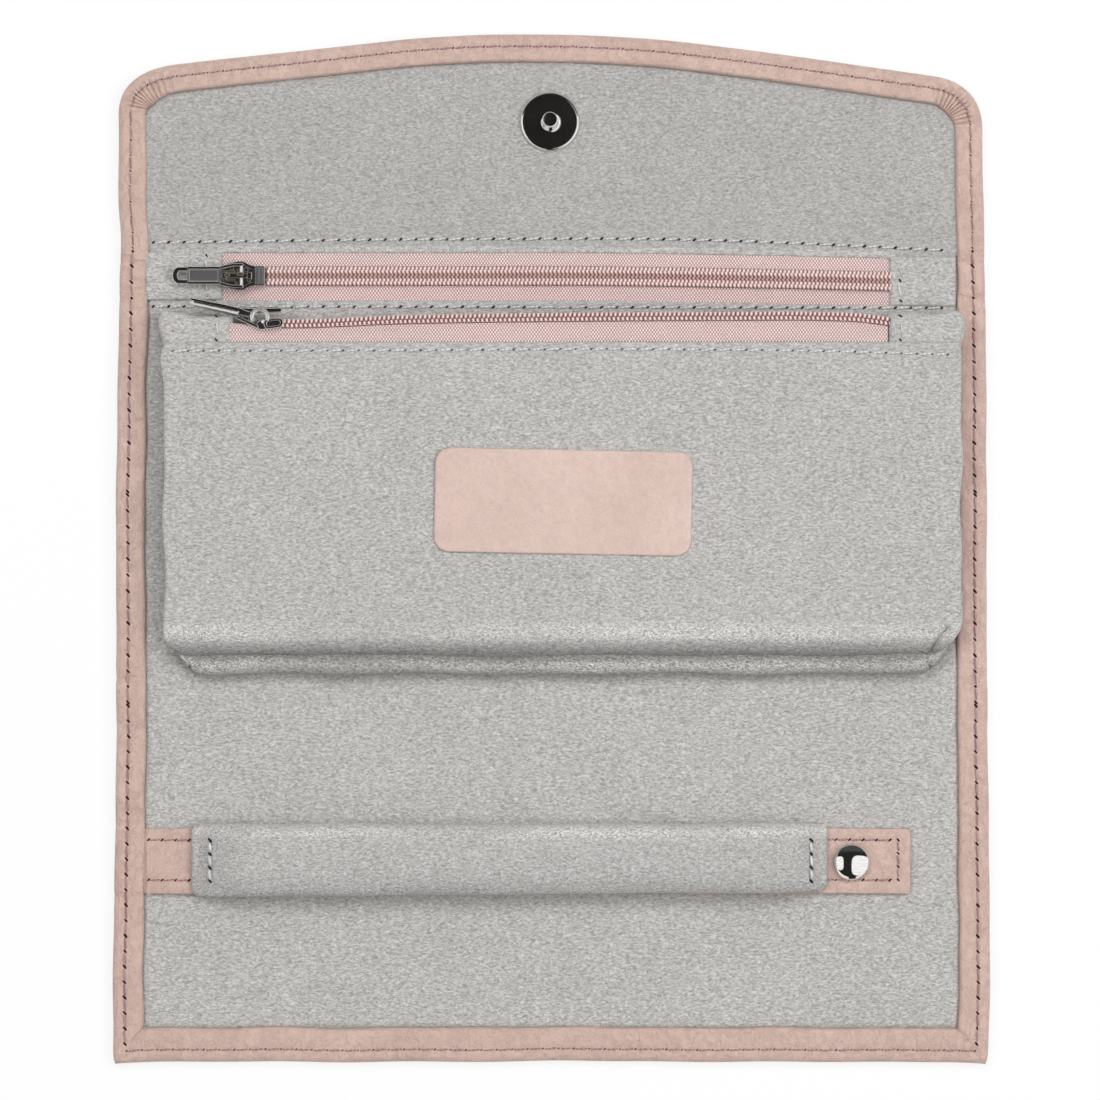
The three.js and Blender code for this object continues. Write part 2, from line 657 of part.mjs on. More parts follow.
// The gusset's route round the pouch, each step with its outward direction
function gussetRoute() {
  const left = POUCH_LEFT;
  const right = POUCH_RIGHT;
  const bottom = HEM_Y - POUCH_BELOW_HEM;
  const radius = GUSSET_CORNER;
  const step = (x, y, angle) => ({
    at: new THREE.Vector2(x, y),
    out: new THREE.Vector2(Math.cos(angle), Math.sin(angle)),
  });
  const corner = (centreX, centreY, from) =>
    Array.from({ length: CORNER_STEPS + 1 }, (_, i) => {
      const angle = from + (i * Math.PI) / 2 / CORNER_STEPS;
      return step(centreX + radius * Math.cos(angle), centreY + radius * Math.sin(angle), angle);
    });
  return [
    step(left, HEM_Y - CLEARANCE, Math.PI),
    ...corner(left + radius, bottom + radius, Math.PI),
    ...corner(right - radius, bottom + radius, (3 * Math.PI) / 2),
    step(right, HEM_Y - CLEARANCE, 2 * Math.PI),
  ];
}

// The bellows: a foot on the lining, a low ridge, a valley and an upper ridge under the sheet
function makeGusset() {
  const half = GUSSET_THICKNESS / 2;
  const low = SUEDE_Z + half;
  const high = POUCH_Z - CLEARANCE - half;
  const rise = high - low;
  const ridgeShare = 0.35;
  const valleyShare = 0.7;
  const route = gussetRoute();
  const rings = route.map(({ at, out }) => {
    const bottomShare = Math.max(0, -out.y);
    const ridge = THREE.MathUtils.lerp(GUSSET_SIDE_RIDGE, GUSSET_BOTTOM_RIDGE, bottomShare);
    const line = [
      new THREE.Vector2(-GUSSET_SET_IN - GUSSET_FOOT, low),
      new THREE.Vector2(-GUSSET_SET_IN, low),
      new THREE.Vector2(ridge, low + rise * ridgeShare),
      new THREE.Vector2(-GUSSET_SET_IN, low + rise * valleyShare),
      new THREE.Vector2(-GUSSET_THICKNESS, high),
      new THREE.Vector2(-GUSSET_THICKNESS - GUSSET_LIP, high),
    ];
    const outline = ribbonOutline(line, GUSSET_THICKNESS);
    return outline.map((p) => new THREE.Vector3(at.x + out.x * p.x, at.y + out.y * p.x, p.y));
  });
  return loft(rings);
}

// A closed solid through rings of points, its two ends filled
function loft(rings) {
  const count = rings[0].length;
  const positions = rings.flat().flatMap((point) => [point.x, point.y, point.z]);
  const index = [];
  for (let i = 0; i < rings.length - 1; i++) {
    for (let j = 0; j < count; j++) {
      const a = i * count + j;
      const b = i * count + ((j + 1) % count);
      index.push(a, b, b + count, a, b + count, a + count);
    }
  }
  const ends = [0, rings.length - 1];
  for (const end of ends) {
    const ring = rings[end];
    const flat = flatten(ring);
    const clockwise = THREE.ShapeUtils.isClockWise(flat);
    const faces = THREE.ShapeUtils.triangulateShape(flat, []);
    for (const [a, b, c] of faces) {
      const corners = [a, b, c].map((corner) => end * count + corner);
      const wound = clockwise === (end === 0) ? corners : corners.reverse();
      index.push(...wound);
    }
  }
  return closedSolid(positions, index);
}

// A ring's points in the plane that it shows widest
function flatten(ring) {
  const box = new THREE.Box3().setFromPoints(ring);
  const size = box.getSize(new THREE.Vector3());
  return ring.map((point) =>
    size.x > size.y ? new THREE.Vector2(point.x, point.z) : new THREE.Vector2(point.y, point.z),
  );
}

function closedSolid(positions, index) {
  const geometry = new THREE.BufferGeometry();
  geometry.setAttribute("position", new THREE.Float32BufferAttribute(positions, 3));
  geometry.setIndex(index);
  return toSolid(geometry);
}

// Pouch front, hem and label
function addPouch() {
  const bottom = HEM_Y - POUCH_BELOW_HEM;
  const corners = [POUCH_LEFT_CORNER, POUCH_RIGHT_CORNER, 0, 0];
  const panel = prism(
    roundedRectangle(POUCH_LEFT, POUCH_RIGHT, bottom, HEM_Y, corners),
    POUCH_Z,
    POUCH_TOP_Z,
  );
  addPiece("pouch_front", "pouch_front_panel", panel, makeSuede());
  const hemNear = HEM_Y + CLEARANCE;
  const hem = block(POUCH_LEFT, POUCH_RIGHT, hemNear, hemNear + HEM_WIDTH, POUCH_Z, POUCH_TOP_Z);
  addPiece("back", "pouch_hem_band", hem, makeSuede());
  addPiece("back", "pouch_gusset", makeGusset(), makeSuede());
  const halfLength = LABEL_LENGTH / 2;
  const halfWidth = LABEL_WIDTH / 2;
  const radii = Array(4).fill(LABEL_CORNER);
  const labelShape = roundedRectangle(-halfLength, halfLength, -halfWidth, halfWidth, radii);
  const label = prism(labelShape, POUCH_TOP_Z, POUCH_TOP_Z + LABEL_THICKNESS);
  const patch = addPiece("pouch_front", "label_patch", label, makeLeather());
  patch.position.set(POUCH_CENTRE_X, HEM_Y - LABEL_FROM_HEM, 0);
  patch.rotation.z = THREE.MathUtils.degToRad(LABEL_TURN_DEGREES);
}

// Magnetic closure
function addMagnets() {
  const top = SUEDE_Z + MAGNET_THICKNESS;
  const disc = prism(circle(0, MAGNET_Y, MAGNET_RADIUS), SUEDE_Z, top);
  const nub = prism(
    circle(0, MAGNET_Y, MAGNET_NUB_RADIUS, SMALL_SIDES),
    SUEDE_Z,
    top + MAGNET_NUB_HEIGHT,
  );
  const male = prongs.reduce(
    (solid, x) => solid.add(prongBlock(x, 0, LINING_Z, top)),
    disc.add(nub),
  );
  addPiece("flap", "magnet_male", male, makeNickel());
  const washer = prism(circle(0, MAGNET_Y, MAGNET_RADIUS), LEATHER, LINING_Z);
  addPiece("flap", "magnet_male_washer", washer, makeMagnet());
  const bore = circle(0, PLATE_Y, MAGNET_BORE_RADIUS, SMALL_SIDES);
  const plate = prism(circle(0, PLATE_Y, MAGNET_RADIUS), 0, LEATHER, [bore]);
  addPiece("front", "magnet_female_plate", plate, makeNickel());
  const ring = prism(circle(0, PLATE_Y, MAGNET_RADIUS), LEATHER, LINING_Z, [bore]);
  addPiece("front", "magnet_ring", ring, makeMagnet());
}

// The stuffed roll's width and height along its length, as shares of full size. A row holds the
// share of the length, of the width and of the height: stitches draw the roll in near both ends.
const PAD_SHARES = [
  [0, 0.86, 0.42],
  [0.012, 0.95, 0.56],
  [0.022, 0.97, 0.6],
  [0.031, 0.95, 0.5],
  [0.042, 0.98, 0.74],
  [0.065, 1, 0.92],
  [0.11, 1, 1],
  [0.3, 0.99, 0.98],
  [0.5, 0.98, 1],
  [0.7, 0.98, 0.98],
  [0.89, 0.97, 0.99],
  [0.935, 0.97, 0.92],
  [0.958, 0.95, 0.74],
  [0.969, 0.92, 0.5],
  [0.978, 0.94, 0.6],
  [0.988, 0.92, 0.56],
  [1, 0.83, 0.42],
];
const PAD_RING_STEPS = 28;
const PAD_ROUNDNESS = 2.5;
const PAD_MIDDLE_SHARE = 0.42;

// One section of the roll, a rounded box that lies flat on the strap
function padRing([lengthShare, widthShare, heightShare]) {
  const x = PAD_LEFT + PAD_LENGTH * lengthShare;
  const halfWidth = (PAD_WIDTH / 2) * widthShare;
  const height = PAD_HEIGHT * heightShare;
  const middle = height * PAD_MIDDLE_SHARE;
  const power = 2 / PAD_ROUNDNESS;
  return Array.from({ length: PAD_RING_STEPS }, (_, i) => {
    const angle = (2 * Math.PI * i) / PAD_RING_STEPS;
    const across = Math.sign(Math.cos(angle)) * Math.abs(Math.cos(angle)) ** power;
    const up = Math.sign(Math.sin(angle)) * Math.abs(Math.sin(angle)) ** power;
    const z = middle + (height - middle) * up;
    return new THREE.Vector3(x, STRAP_Y + PAD_OFFSET + halfWidth * across, STRAP_TOP_Z + Math.max(0, z));
  });
}

// Ring bar and its snap
function addRingBar() {
  const near = STRAP_Y - STRAP_WIDTH / 2;
  const far = STRAP_Y + STRAP_WIDTH / 2;
  const radii = [0, STRAP_END_RADIUS, STRAP_END_RADIUS, 0];
  const outline = roundedRectangle(STRAP_HINGE_X, STRAP_END_X, near, far, radii);
  const lower = prism(outline, SUEDE_Z, STRAP_MID_Z, [studSeat]);
  const upper = prism(outline, STRAP_MID_Z, STRAP_TOP_Z, [studSeat]);
  addPiece("ring_bar", "ring_strap_lower", lower, makeLeather());
  addPiece("ring_bar", "ring_strap_upper", upper, makeLeather());
  const tongue = block(ROOT_LEFT, rootRight, near, far, LINING_Z, SUEDE_Z);
  const step = block(CLEARANCE - FIELD_X, rootRight, near, far, LINING_Z, STRAP_TOP_Z);
  addPiece("front", "strap_root_tab", tongue.add(step), makeLeather());
  addPiece("ring_bar", "ring_pad", loft(PAD_SHARES.map(padRing)), makeSuede());
  const domeShares = [
    [1, 0],
    [1, 0.25],
    [0.93, 0.55],
    [0.75, 0.8],
    [0.45, 0.95],
    [0, 1],
  ];
  const profile = domeShares.map(
    ([r, h]) => new THREE.Vector2(r * SNAP_CAP_RADIUS, h * SNAP_CAP_HEIGHT),
  );
  profile.unshift(new THREE.Vector2(0, 0));
  const dome = new THREE.LatheGeometry(profile, ROUND_SIDES).rotateX(Math.PI / 2);
  const cap = addPiece("ring_bar", "snap_cap", toSolid(dome), makeChrome());
  cap.position.set(SNAP_X, STRAP_Y, STRAP_TOP_Z);
  const bore = circle(SNAP_X, STRAP_Y, SNAP_BORE_RADIUS, SMALL_SIDES);
  const seat = circle(SNAP_X, STRAP_Y, SNAP_SOCKET_RADIUS);
  addPiece("ring_bar", "snap_socket", prism(seat, SUEDE_Z, STRAP_TOP_Z, [bore]), makeChrome());
  const head = circle(SNAP_X, STRAP_Y, SNAP_BORE_RADIUS - CLEARANCE, SMALL_SIDES);
  const stud = prism(seat, LINING_Z, SUEDE_Z).add(prism(head, LINING_Z, SUEDE_Z + SNAP_HEAD_HEIGHT));
  addPiece("front", "snap_stud", stud, makeChrome());
  addPiece("front", "snap_stud_washer", prism(seat, LEATHER, LINING_Z), makeMagnet());
}

addCovers();
addBoards();
addLinings();
addFirstZip();
addSecondZip();
addPouch();
addMagnets();
addRingBar();

export default roll;
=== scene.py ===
import math

import bmesh
import bpy
import numpy as np
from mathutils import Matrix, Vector


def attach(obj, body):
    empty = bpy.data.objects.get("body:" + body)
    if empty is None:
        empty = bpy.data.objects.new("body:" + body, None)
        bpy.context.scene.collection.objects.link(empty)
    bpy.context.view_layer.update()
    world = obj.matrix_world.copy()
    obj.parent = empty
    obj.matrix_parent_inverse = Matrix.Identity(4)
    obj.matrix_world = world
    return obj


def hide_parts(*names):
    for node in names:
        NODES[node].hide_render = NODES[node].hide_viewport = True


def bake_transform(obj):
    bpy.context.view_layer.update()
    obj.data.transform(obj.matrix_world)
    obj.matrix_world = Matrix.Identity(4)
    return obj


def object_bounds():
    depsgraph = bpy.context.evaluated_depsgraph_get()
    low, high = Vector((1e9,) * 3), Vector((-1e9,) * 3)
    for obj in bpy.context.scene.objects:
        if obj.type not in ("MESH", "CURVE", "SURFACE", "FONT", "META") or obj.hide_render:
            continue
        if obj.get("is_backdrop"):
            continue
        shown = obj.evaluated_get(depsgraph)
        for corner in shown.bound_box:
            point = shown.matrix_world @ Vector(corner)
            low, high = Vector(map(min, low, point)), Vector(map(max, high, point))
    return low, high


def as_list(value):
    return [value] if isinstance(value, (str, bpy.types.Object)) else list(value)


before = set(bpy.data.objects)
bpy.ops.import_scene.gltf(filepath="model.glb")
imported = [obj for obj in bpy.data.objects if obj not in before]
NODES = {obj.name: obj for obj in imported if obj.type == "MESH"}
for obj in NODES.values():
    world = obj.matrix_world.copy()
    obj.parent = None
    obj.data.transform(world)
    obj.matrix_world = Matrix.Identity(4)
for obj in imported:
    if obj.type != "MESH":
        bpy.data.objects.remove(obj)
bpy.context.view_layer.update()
MM = 0.001

# Lines of the laid-open roll, in millimetres, as in the part's source
FOLD_1 = 58.0
FOLD_2 = 73.8
FOLD_3 = -30.5
FOLD_4 = -42.5
ZONE = 3.0
CUT_TOP = 70.2
CUT_BACK = 13.0
CUT_BOTTOM = -36.5
LINING_Z = 2.5
WINDOW = (-77.1, 79.8, 58.15, 69.5)
STITCH = 3.6


# Small tools


def linked(name, data):
    o = bpy.data.objects.new(name, data)
    bpy.context.scene.collection.objects.link(o)
    return o


def lin(r, g, b):
    out = []
    for c in (r, g, b):
        c /= 255
        out.append(c / 12.92 if c <= 0.04045 else ((c + 0.055) / 1.055) ** 2.4)
    return (*out, 1.0)


def wobble(t, seed, wave, amount):
    """A smooth, fixed unevenness: a few sines of lengths around wave."""
    t = np.asarray(t, float)
    out = np.zeros_like(t)
    for k in range(4):
        phase = math.sin(seed * 12.9898 + k * 78.233) * 43758.5453
        phase = (phase - math.floor(phase)) * 2 * math.pi
        out = out + np.sin(t * 2 * math.pi / (wave * (0.6 + 0.37 * k)) + phase) / (1 + 0.5 * k)
    return out * amount / 1.6


def through(keys):
    """A smooth curve through (t, value) keys."""
    t = np.array([k[0] for k in keys], float)
    v = np.array([k[1] for k in keys], float)
    slope = np.gradient(v, t)

    def at(q):
        q = np.asarray(q, float)
        i = np.clip(np.searchsorted(t, q) - 1, 0, len(t) - 2)
        h = t[i + 1] - t[i]
        s = np.clip((q - t[i]) / h, -0.6, 1.6)
        a = (1 + 2 * s) * (1 - s) ** 2
        b = s * (1 - s) ** 2
        c = s * s * (3 - 2 * s)
        d = s * s * (s - 1)
        return a * v[i] + b * h * slope[i] + c * v[i + 1] + d * h * slope[i + 1]

    return at


def rows(low, high, step, *fine):
    """Values from low to high, a step apart, with (centre, reach, step) given finer ones."""
    out = {round(low, 4), round(high, 4)}
    t = low
    while t < high:
        near = [f for f in fine if abs(t - f[0]) <= f[1]]
        d = min([f[2] for f in near] + [step])
        t += d
        if t < high - 0.35 * d:
            out.add(round(t, 4))
    return np.array(sorted(out))


def walked(line):
    """The distance along a line at each of its points."""
    return np.cumsum(np.r_[0, np.linalg.norm(np.diff(line, axis=0), axis=1)])


def beside(t):
    """Unit vectors in the plane, to the right of the given directions."""
    t = t / np.maximum(np.linalg.norm(t, axis=1), 1e-9)[:, None]
    return np.stack([t[:, 1], -t[:, 0]], -1)


class Shape:
    """Collects patches of faces in millimetres, then becomes one mesh object."""

    def __init__(self):
        self.points, self.faces, self.uvs, self.kinds = [], [], [], []

    def grid(self, points, uv=None, wrap=False, skip=None, flip=False, kind=0):
        p = np.asarray(points, float)
        r, c = p.shape[:2]
        base = len(self.points)
        self.points.extend(p.reshape(-1, 3).tolist())
        if uv is None:
            uv = np.stack([p[..., 0], p[..., 1]], -1)
        self.uvs.extend(np.asarray(uv, float).reshape(-1, 2).tolist())
        for i in range(r - 1):
            for j in range(c if wrap else c - 1):
                if skip is not None and skip(i, j):
                    continue
                k = (j + 1) % c
                f = [base + i * c + j, base + i * c + k, base + (i + 1) * c + k, base + (i + 1) * c + j]
                self.faces.append(f[::-1] if flip else f)
                self.kinds.append(kind)
        return base

    def face(self, ids, flip=False, kind=0):
        self.faces.append(list(ids)[::-1] if flip else list(ids))
        self.kinds.append(kind)

    def caps(self, base, rings, sides, kind=0, flip=False):
        """Closes both ends of a grid made of rings."""
        self.face([base + j for j in range(sides)], kind=kind)
        self.face([base + (rings - 1) * sides + j for j in range(sides)], flip=flip, kind=kind)

    def tube(self, line, radius, sides=8, kind=0):
        """A round tube along a line; radius may vary along it."""
        line = np.asarray(line, float)
        n = len(line)
        radius = np.broadcast_to(np.asarray(radius, float), (n,))
        t = np.gradient(line, axis=0)
        t /= np.maximum(np.linalg.norm(t, axis=1), 1e-9)[:, None]
        side = np.cross(t, (0.0, 0.0, 1.0))
        side /= np.maximum(np.linalg.norm(side, axis=1), 1e-9)[:, None]
        top = np.cross(side, t)
        a = np.arange(sides) * 2 * math.pi / sides
        rings = (
            line[:, None]
            + side[:, None] * (np.cos(a)[None, :, None] * radius[:, None, None])
            + top[:, None] * (np.sin(a)[None, :, None] * radius[:, None, None])
        )
        far = walked(line)
        uv = np.stack(np.broadcast_arrays(far[:, None], np.arange(sides)[None] / sides), -1)
        base = self.grid(rings, uv, wrap=True, kind=kind)
        self.caps(base, n, sides, kind, flip=True)

    def done(self, name, *materials, outward=True, smooth=True, flat_above=None):
        mesh = bpy.data.meshes.new(name)
        mesh.from_pydata([[c * MM for c in p] for p in self.points], [], self.faces)
        layer = mesh.uv_layers.new(name="UVMap")
        ids = np.zeros(len(mesh.loops), np.int32)
        mesh.loops.foreach_get("vertex_index", ids)
        layer.data.foreach_set("uv", (np.array(self.uvs)[ids] * MM).astype(np.float32).ravel())
        for m in materials:
            mesh.materials.append(m)
        mesh.polygons.foreach_set("material_index", self.kinds)
        if outward:
            bm = bmesh.new()
            bm.from_mesh(mesh)
            bmesh.ops.recalc_face_normals(bm, faces=bm.faces)
            bm.to_mesh(mesh)
            bm.free()
        mesh.polygons.foreach_set("use_smooth", [smooth] * len(mesh.polygons))
        if flat_above is not None:
            mesh.set_sharp_from_angle(angle=math.radians(flat_above))
        mesh.update()
        return linked(name, mesh)


def welded(o, reach):
    """Joins the points where patches meet and turns all faces one way."""
    bm = bmesh.new()
    bm.from_mesh(o.data)
    bmesh.ops.remove_doubles(bm, verts=bm.verts, dist=reach)
    bmesh.ops.recalc_face_normals(bm, faces=bm.faces)
    bm.to_mesh(o.data)
    bm.free()


def bent(o, a, b, start_y, end_y, z=0.0):
    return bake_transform(o)


SECTIONS = {
    "flap": ("top_spine", "flap", FOLD_2 - ZONE, FOLD_2 + ZONE),
    "upper": ("back", "top_spine", FOLD_1 - ZONE, FOLD_1 + ZONE),
    "lower": ("back", "bottom_spine", FOLD_3 + ZONE, FOLD_3 - ZONE),
    "front": ("bottom_spine", "front", FOLD_4 + ZONE, FOLD_4 - ZONE),
}


def fold_with(o, section):
    return bent(o, *SECTIONS[section])


# Materials


def material(name, rough, metal=0.0, **sockets):
    m = bpy.data.materials.new(name)
    m.use_nodes = True
    b = m.node_tree.nodes["Principled BSDF"]
    b.inputs["Roughness"].default_value = rough
    b.inputs["Metallic"].default_value = metal
    for k, v in sockets.items():
        b.inputs[k.replace("_", " ")].default_value = v
    return m, m.node_tree, b


def put(tree, kind, props=None, **ins):
    n = tree.nodes.new("ShaderNode" + kind)
    for k, v in (props or {}).items():
        setattr(n, k, v)
    for k, v in ins.items():
        key = int(k[1:]) if k[0] == "i" and k[1:].isdigit() else k.replace("_", " ")
        if isinstance(v, bpy.types.NodeSocket):
            tree.links.new(v, n.inputs[key])
        else:
            n.inputs[key].default_value = v
    return n


def coords(tree, stretch=(1, 1, 1), turn=0.0, kind="Object"):
    c = put(tree, "TexCoord")
    m = put(tree, "Mapping", Scale=stretch)
    m.inputs["Rotation"].default_value = (0, 0, turn)
    tree.links.new(c.outputs[kind], m.inputs["Vector"])
    return m.outputs[0]


def noise(tree, vector, scale, detail=4.0, rough=0.55):
    return put(tree, "TexNoise", Vector=vector, Scale=scale, Detail=detail, Roughness=rough).outputs["Fac"]


def ramp(tree, fac, *stops):
    n = put(tree, "ValToRGB", Fac=fac)
    e = n.color_ramp.elements
    while len(e) < len(stops):
        e.new(0.5)
    for el, (pos, col) in zip(e, stops):
        el.position = pos
        el.color = col if hasattr(col, "__len__") else (col, col, col, 1)
    return n.outputs["Color"]


def spread(tree, fac, low, high):
    return put(tree, "MapRange", Value=fac, To_Min=low, To_Max=high).outputs["Result"]


def maths(tree, how, a, b=0.0):
    return put(tree, "Math", {"operation": how}, i0=a, i1=b).outputs[0]


def mixed(tree, how, fac, a, b):
    n = put(tree, "Mix", {"data_type": "RGBA", "blend_type": how})
    for i, v in ((0, fac), (6, a), (7, b)):
        if isinstance(v, bpy.types.NodeSocket):
            tree.links.new(v, n.inputs[i])
        else:
            n.inputs[i].default_value = v
    return n.outputs[2]


def bumped(tree, bsdf, *layers):
    """Stacks bumps, given as (height, distance in metres, strength)."""
    last = None
    for height, distance, strength in layers:
        n = put(tree, "Bump", Height=height, Distance=distance, Strength=strength)
        if last:
            tree.links.new(last, n.inputs["Normal"])
        last = n.outputs[0]
    tree.links.new(last, bsdf.inputs["Normal"])


def leather(name, dark, light, rough=0.43, grain=1.0, creased=1.0):
    m, t, b = material(name, rough, Specular_IOR_Level=0.45)
    v = coords(t)
    cells = put(t, "TexVoronoi", {"feature": "DISTANCE_TO_EDGE"}, Vector=v, Scale=1500.0).outputs["Distance"]
    pores = ramp(t, cells, (0.0, 0.0), (0.14, 1.0))
    fine = noise(t, v, 2600.0, 5)
    cloud = noise(t, v, 70.0, 5, 0.6)
    wrinkle = noise(t, v, 560.0, 5, 0.62)
    folds = noise(t, coords(t, (1, 0.62, 1), 0.35), 330.0, 6, 0.66)
    crease = ramp(t, folds, (0.455, 1.0), (0.494, 0.0), (0.506, 0.0), (0.545, 1.0))
    base = mixed(t, "MIX", ramp(t, cloud, (0.32, 0.0), (0.68, 1.0)), dark, light)
    base = mixed(t, "MULTIPLY", 0.12 * grain, base, pores)
    base = mixed(t, "MULTIPLY", 0.14, base, ramp(t, fine, (0.3, 0.6), (0.7, 1.0)))
    base = mixed(t, "MULTIPLY", 0.16, base, ramp(t, wrinkle, (0.38, 0.7), (0.56, 1.0)))
    # painted shade: the thin crease lines are darkened in colour, besides their bump
    base = mixed(t, "MULTIPLY", 0.06 * creased, base, crease)
    t.links.new(base, b.inputs["Base Color"])
    t.links.new(spread(t, fine, rough - 0.12, rough + 0.12), b.inputs["Roughness"])
    bumped(
        t,
        b,
        (cloud, 0.0009, 0.35),
        (wrinkle, 0.00042, 0.85),
        (crease, 0.00012, 0.6 * creased),
        (pores, 0.00005 * grain, 0.6),
        (fine, 0.00004 * grain, 0.6),
    )
    return m


def suede(name, dark, light, turn=0.0, nap_depth=1.0, shade_bands=None, highlight_bands=None):
    """Brushed nap: short, wavy streaks that run across, over a fine fuzz, with rubbed clouds.

    The next to last argument is (texture coordinates, lowest Y, highest Y, ramp stops): bands of painted shade,
    darkening the colour where the shape lies in shade. The last argument is a second ramp over the same span: painted
    highlights, bright specks where the nap shines."""
    m, t, b = material(name, 0.9, Specular_IOR_Level=0.25, Sheen_Weight=0.4, Sheen_Roughness=0.35)
    w = coords(t)
    bend = put(t, "TexNoise", Vector=w, Scale=380.0, Detail=2.0).outputs["Color"]
    warp = put(t, "VectorMath", {"operation": "MULTIPLY_ADD"}, i0=bend, i1=(0.0017,) * 3, i2=w).outputs[0]
    v = put(t, "Mapping", Vector=warp, Scale=(0.4, 1, 1), Rotation=(0, 0, turn)).outputs[0]
    streak = noise(t, v, 2300.0, 3, 0.62)
    short = noise(t, v, 4300.0, 3, 0.62)
    fuzz = noise(t, w, 8200.0, 2, 0.7)
    cloud = noise(t, w, 60.0, 5, 0.62)
    base = mixed(t, "MIX", ramp(t, streak, (0.34, 0.0), (0.66, 1.0)), dark, light)
    base = mixed(t, "MULTIPLY", 0.55 * nap_depth, base, ramp(t, short, (0.37, 0.55), (0.61, 1.0)))
    base = mixed(t, "MULTIPLY", 0.45, base, ramp(t, fuzz, (0.32, 0.6), (0.68, 1.0)))
    base = mixed(t, "MULTIPLY", 0.14, base, ramp(t, cloud, (0.36, 0.75), (0.62, 1.0)))
    rubbed = (ramp(t, short, (0.6, 0.0), (0.72, 1.0)), ramp(t, cloud, (0.5, 0.2), (0.66, 0.8)))
    base = mixed(t, "MIX", maths(t, "MULTIPLY", *rubbed), base, lin(220, 218, 214))
    # painted shade: the colour darkened in bands over the shape
    if shade_bands:
        kind, low, high, stops = shade_bands
        y = put(t, "SeparateXYZ", Vector=put(t, "TexCoord").outputs[kind]).outputs["Y"]
        ragged = maths(t, "MULTIPLY", maths(t, "SUBTRACT", short, 0.5), (high - low) * 0.22)
        y = maths(t, "ADD", y, ragged)
        share = put(t, "MapRange", Value=y, From_Min=low, From_Max=high).outputs["Result"]
        base = mixed(t, "MULTIPLY", 1.0, base, ramp(t, share, *stops))
        # painted highlights: bright specks in bands over the shape
        if highlight_bands:
            patchy = ramp(t, noise(t, w, 26.0, 3), (0.4, 0.3), (0.6, 1.0))
            highlight_specks = maths(t, "MULTIPLY", ramp(t, short, (0.47, 0.0), (0.6, 1.0)), ramp(t, share, *highlight_bands))
            base = mixed(t, "MIX", maths(t, "MULTIPLY", highlight_specks, patchy), base, lin(248, 247, 244))
    t.links.new(base, b.inputs["Base Color"])
    bumped(
        t, b, (cloud, 0.0009, 0.3), (streak, 0.00022 * nap_depth, 0.7), (short, 0.00013, 0.75), (fuzz, 0.00006, 0.5)
    )
    return m


def woven(name, dark, light):
    """A fine twill: short slanted floats in warp and weft."""
    m, t, b = material(name, 0.75, Specular_IOR_Level=0.3, Sheen_Weight=0.15)
    v = coords(t)
    floats = [
        put(t, "TexWave", {"bands_direction": "X"}, Vector=u, Scale=540.0, Distortion=2.2, Detail=2.0).outputs["Fac"]
        for u in (coords(t, (1, 1, 1), 0.62), coords(t, (1, 1, 1), -0.62))
    ]
    weave = maths(t, "MULTIPLY", *floats)
    fibre = noise(t, v, 3800.0, 3)
    cloud = noise(t, v, 240.0, 4)
    base = mixed(t, "MIX", ramp(t, weave, (0.02, 0.0), (0.42, 1.0)), dark, light)
    base = mixed(t, "MULTIPLY", 0.2, base, ramp(t, fibre, (0.3, 0.65), (0.7, 1.0)))
    base = mixed(t, "MULTIPLY", 0.14, base, ramp(t, cloud, (0.35, 0.75), (0.65, 1.0)))
    t.links.new(base, b.inputs["Base Color"])
    bumped(t, b, (weave, 0.00014, 0.8), (fibre, 0.00004, 0.4), (cloud, 0.0001, 0.3))
    return m


def metal(name, colour, rough, wear, metallic=1.0):
    m, t, b = material(name, rough, metallic)
    v = coords(t)
    scratch = noise(t, coords(t, (1, 9, 1), 0.5), 900.0, 3, 0.7)
    cloud = noise(t, v, 260.0, 4)
    t.links.new(spread(t, cloud, rough * 0.75, rough * 1.45), b.inputs["Roughness"])
    dull = tuple(c * 0.82 for c in colour[:3]) + (1,)
    t.links.new(mixed(t, "MIX", ramp(t, scratch, (0.42, 0.0), (0.6, 1.0)), dull, colour), b.inputs["Base Color"])
    bumped(t, b, (scratch, 0.00001, wear))
    return m


def speckled(name, rough, scale, low, high, detail=4.0, **sockets):
    """A plain material whose colour wavers between two near ones; also gives what a bump needs."""
    m, t, b = material(name, rough, **sockets)
    cloud = noise(t, coords(t), scale, detail)
    t.links.new(ramp(t, cloud, (0.3, low), (0.7, high)), b.inputs["Base Color"])
    return m, t, b, cloud


def yarn(name, dark, light):
    m, t, b = material(name, 0.6, Specular_IOR_Level=0.35, Sheen_Weight=0.15)
    v = coords(t, (1, 1, 1), 0.7)
    twist = put(t, "TexWave", {"bands_direction": "DIAGONAL"}, Vector=v, Scale=420.0, Distortion=0.8).outputs["Fac"]
    fuzz = noise(t, v, 3600.0, 3)
    base = mixed(t, "MIX", twist, dark, light)
    base = mixed(t, "MULTIPLY", 0.25, base, ramp(t, fuzz, (0.3, 0.6), (0.7, 1.0)))
    t.links.new(base, b.inputs["Base Color"])
    bumped(t, b, (twist, 0.00008, 0.6), (fuzz, 0.00004, 0.4))
    return m


PINK = leather("pink_leather", lin(213, 183, 171), lin(221, 192, 180))
LABEL = leather("label_leather", lin(218, 192, 181), lin(226, 201, 190), 0.42, 0.6, 0.0)
GREY = suede("grey_suede", lin(173, 171, 168), lin(233, 231, 228), -0.06)
# a darker copy of the grey suede for the flap's lining: painted shade, as the flap gets less light
FLAP_SHADED_GREY = suede("flap_suede_shaded", lin(170, 168, 165), lin(216, 214, 211), -0.06)
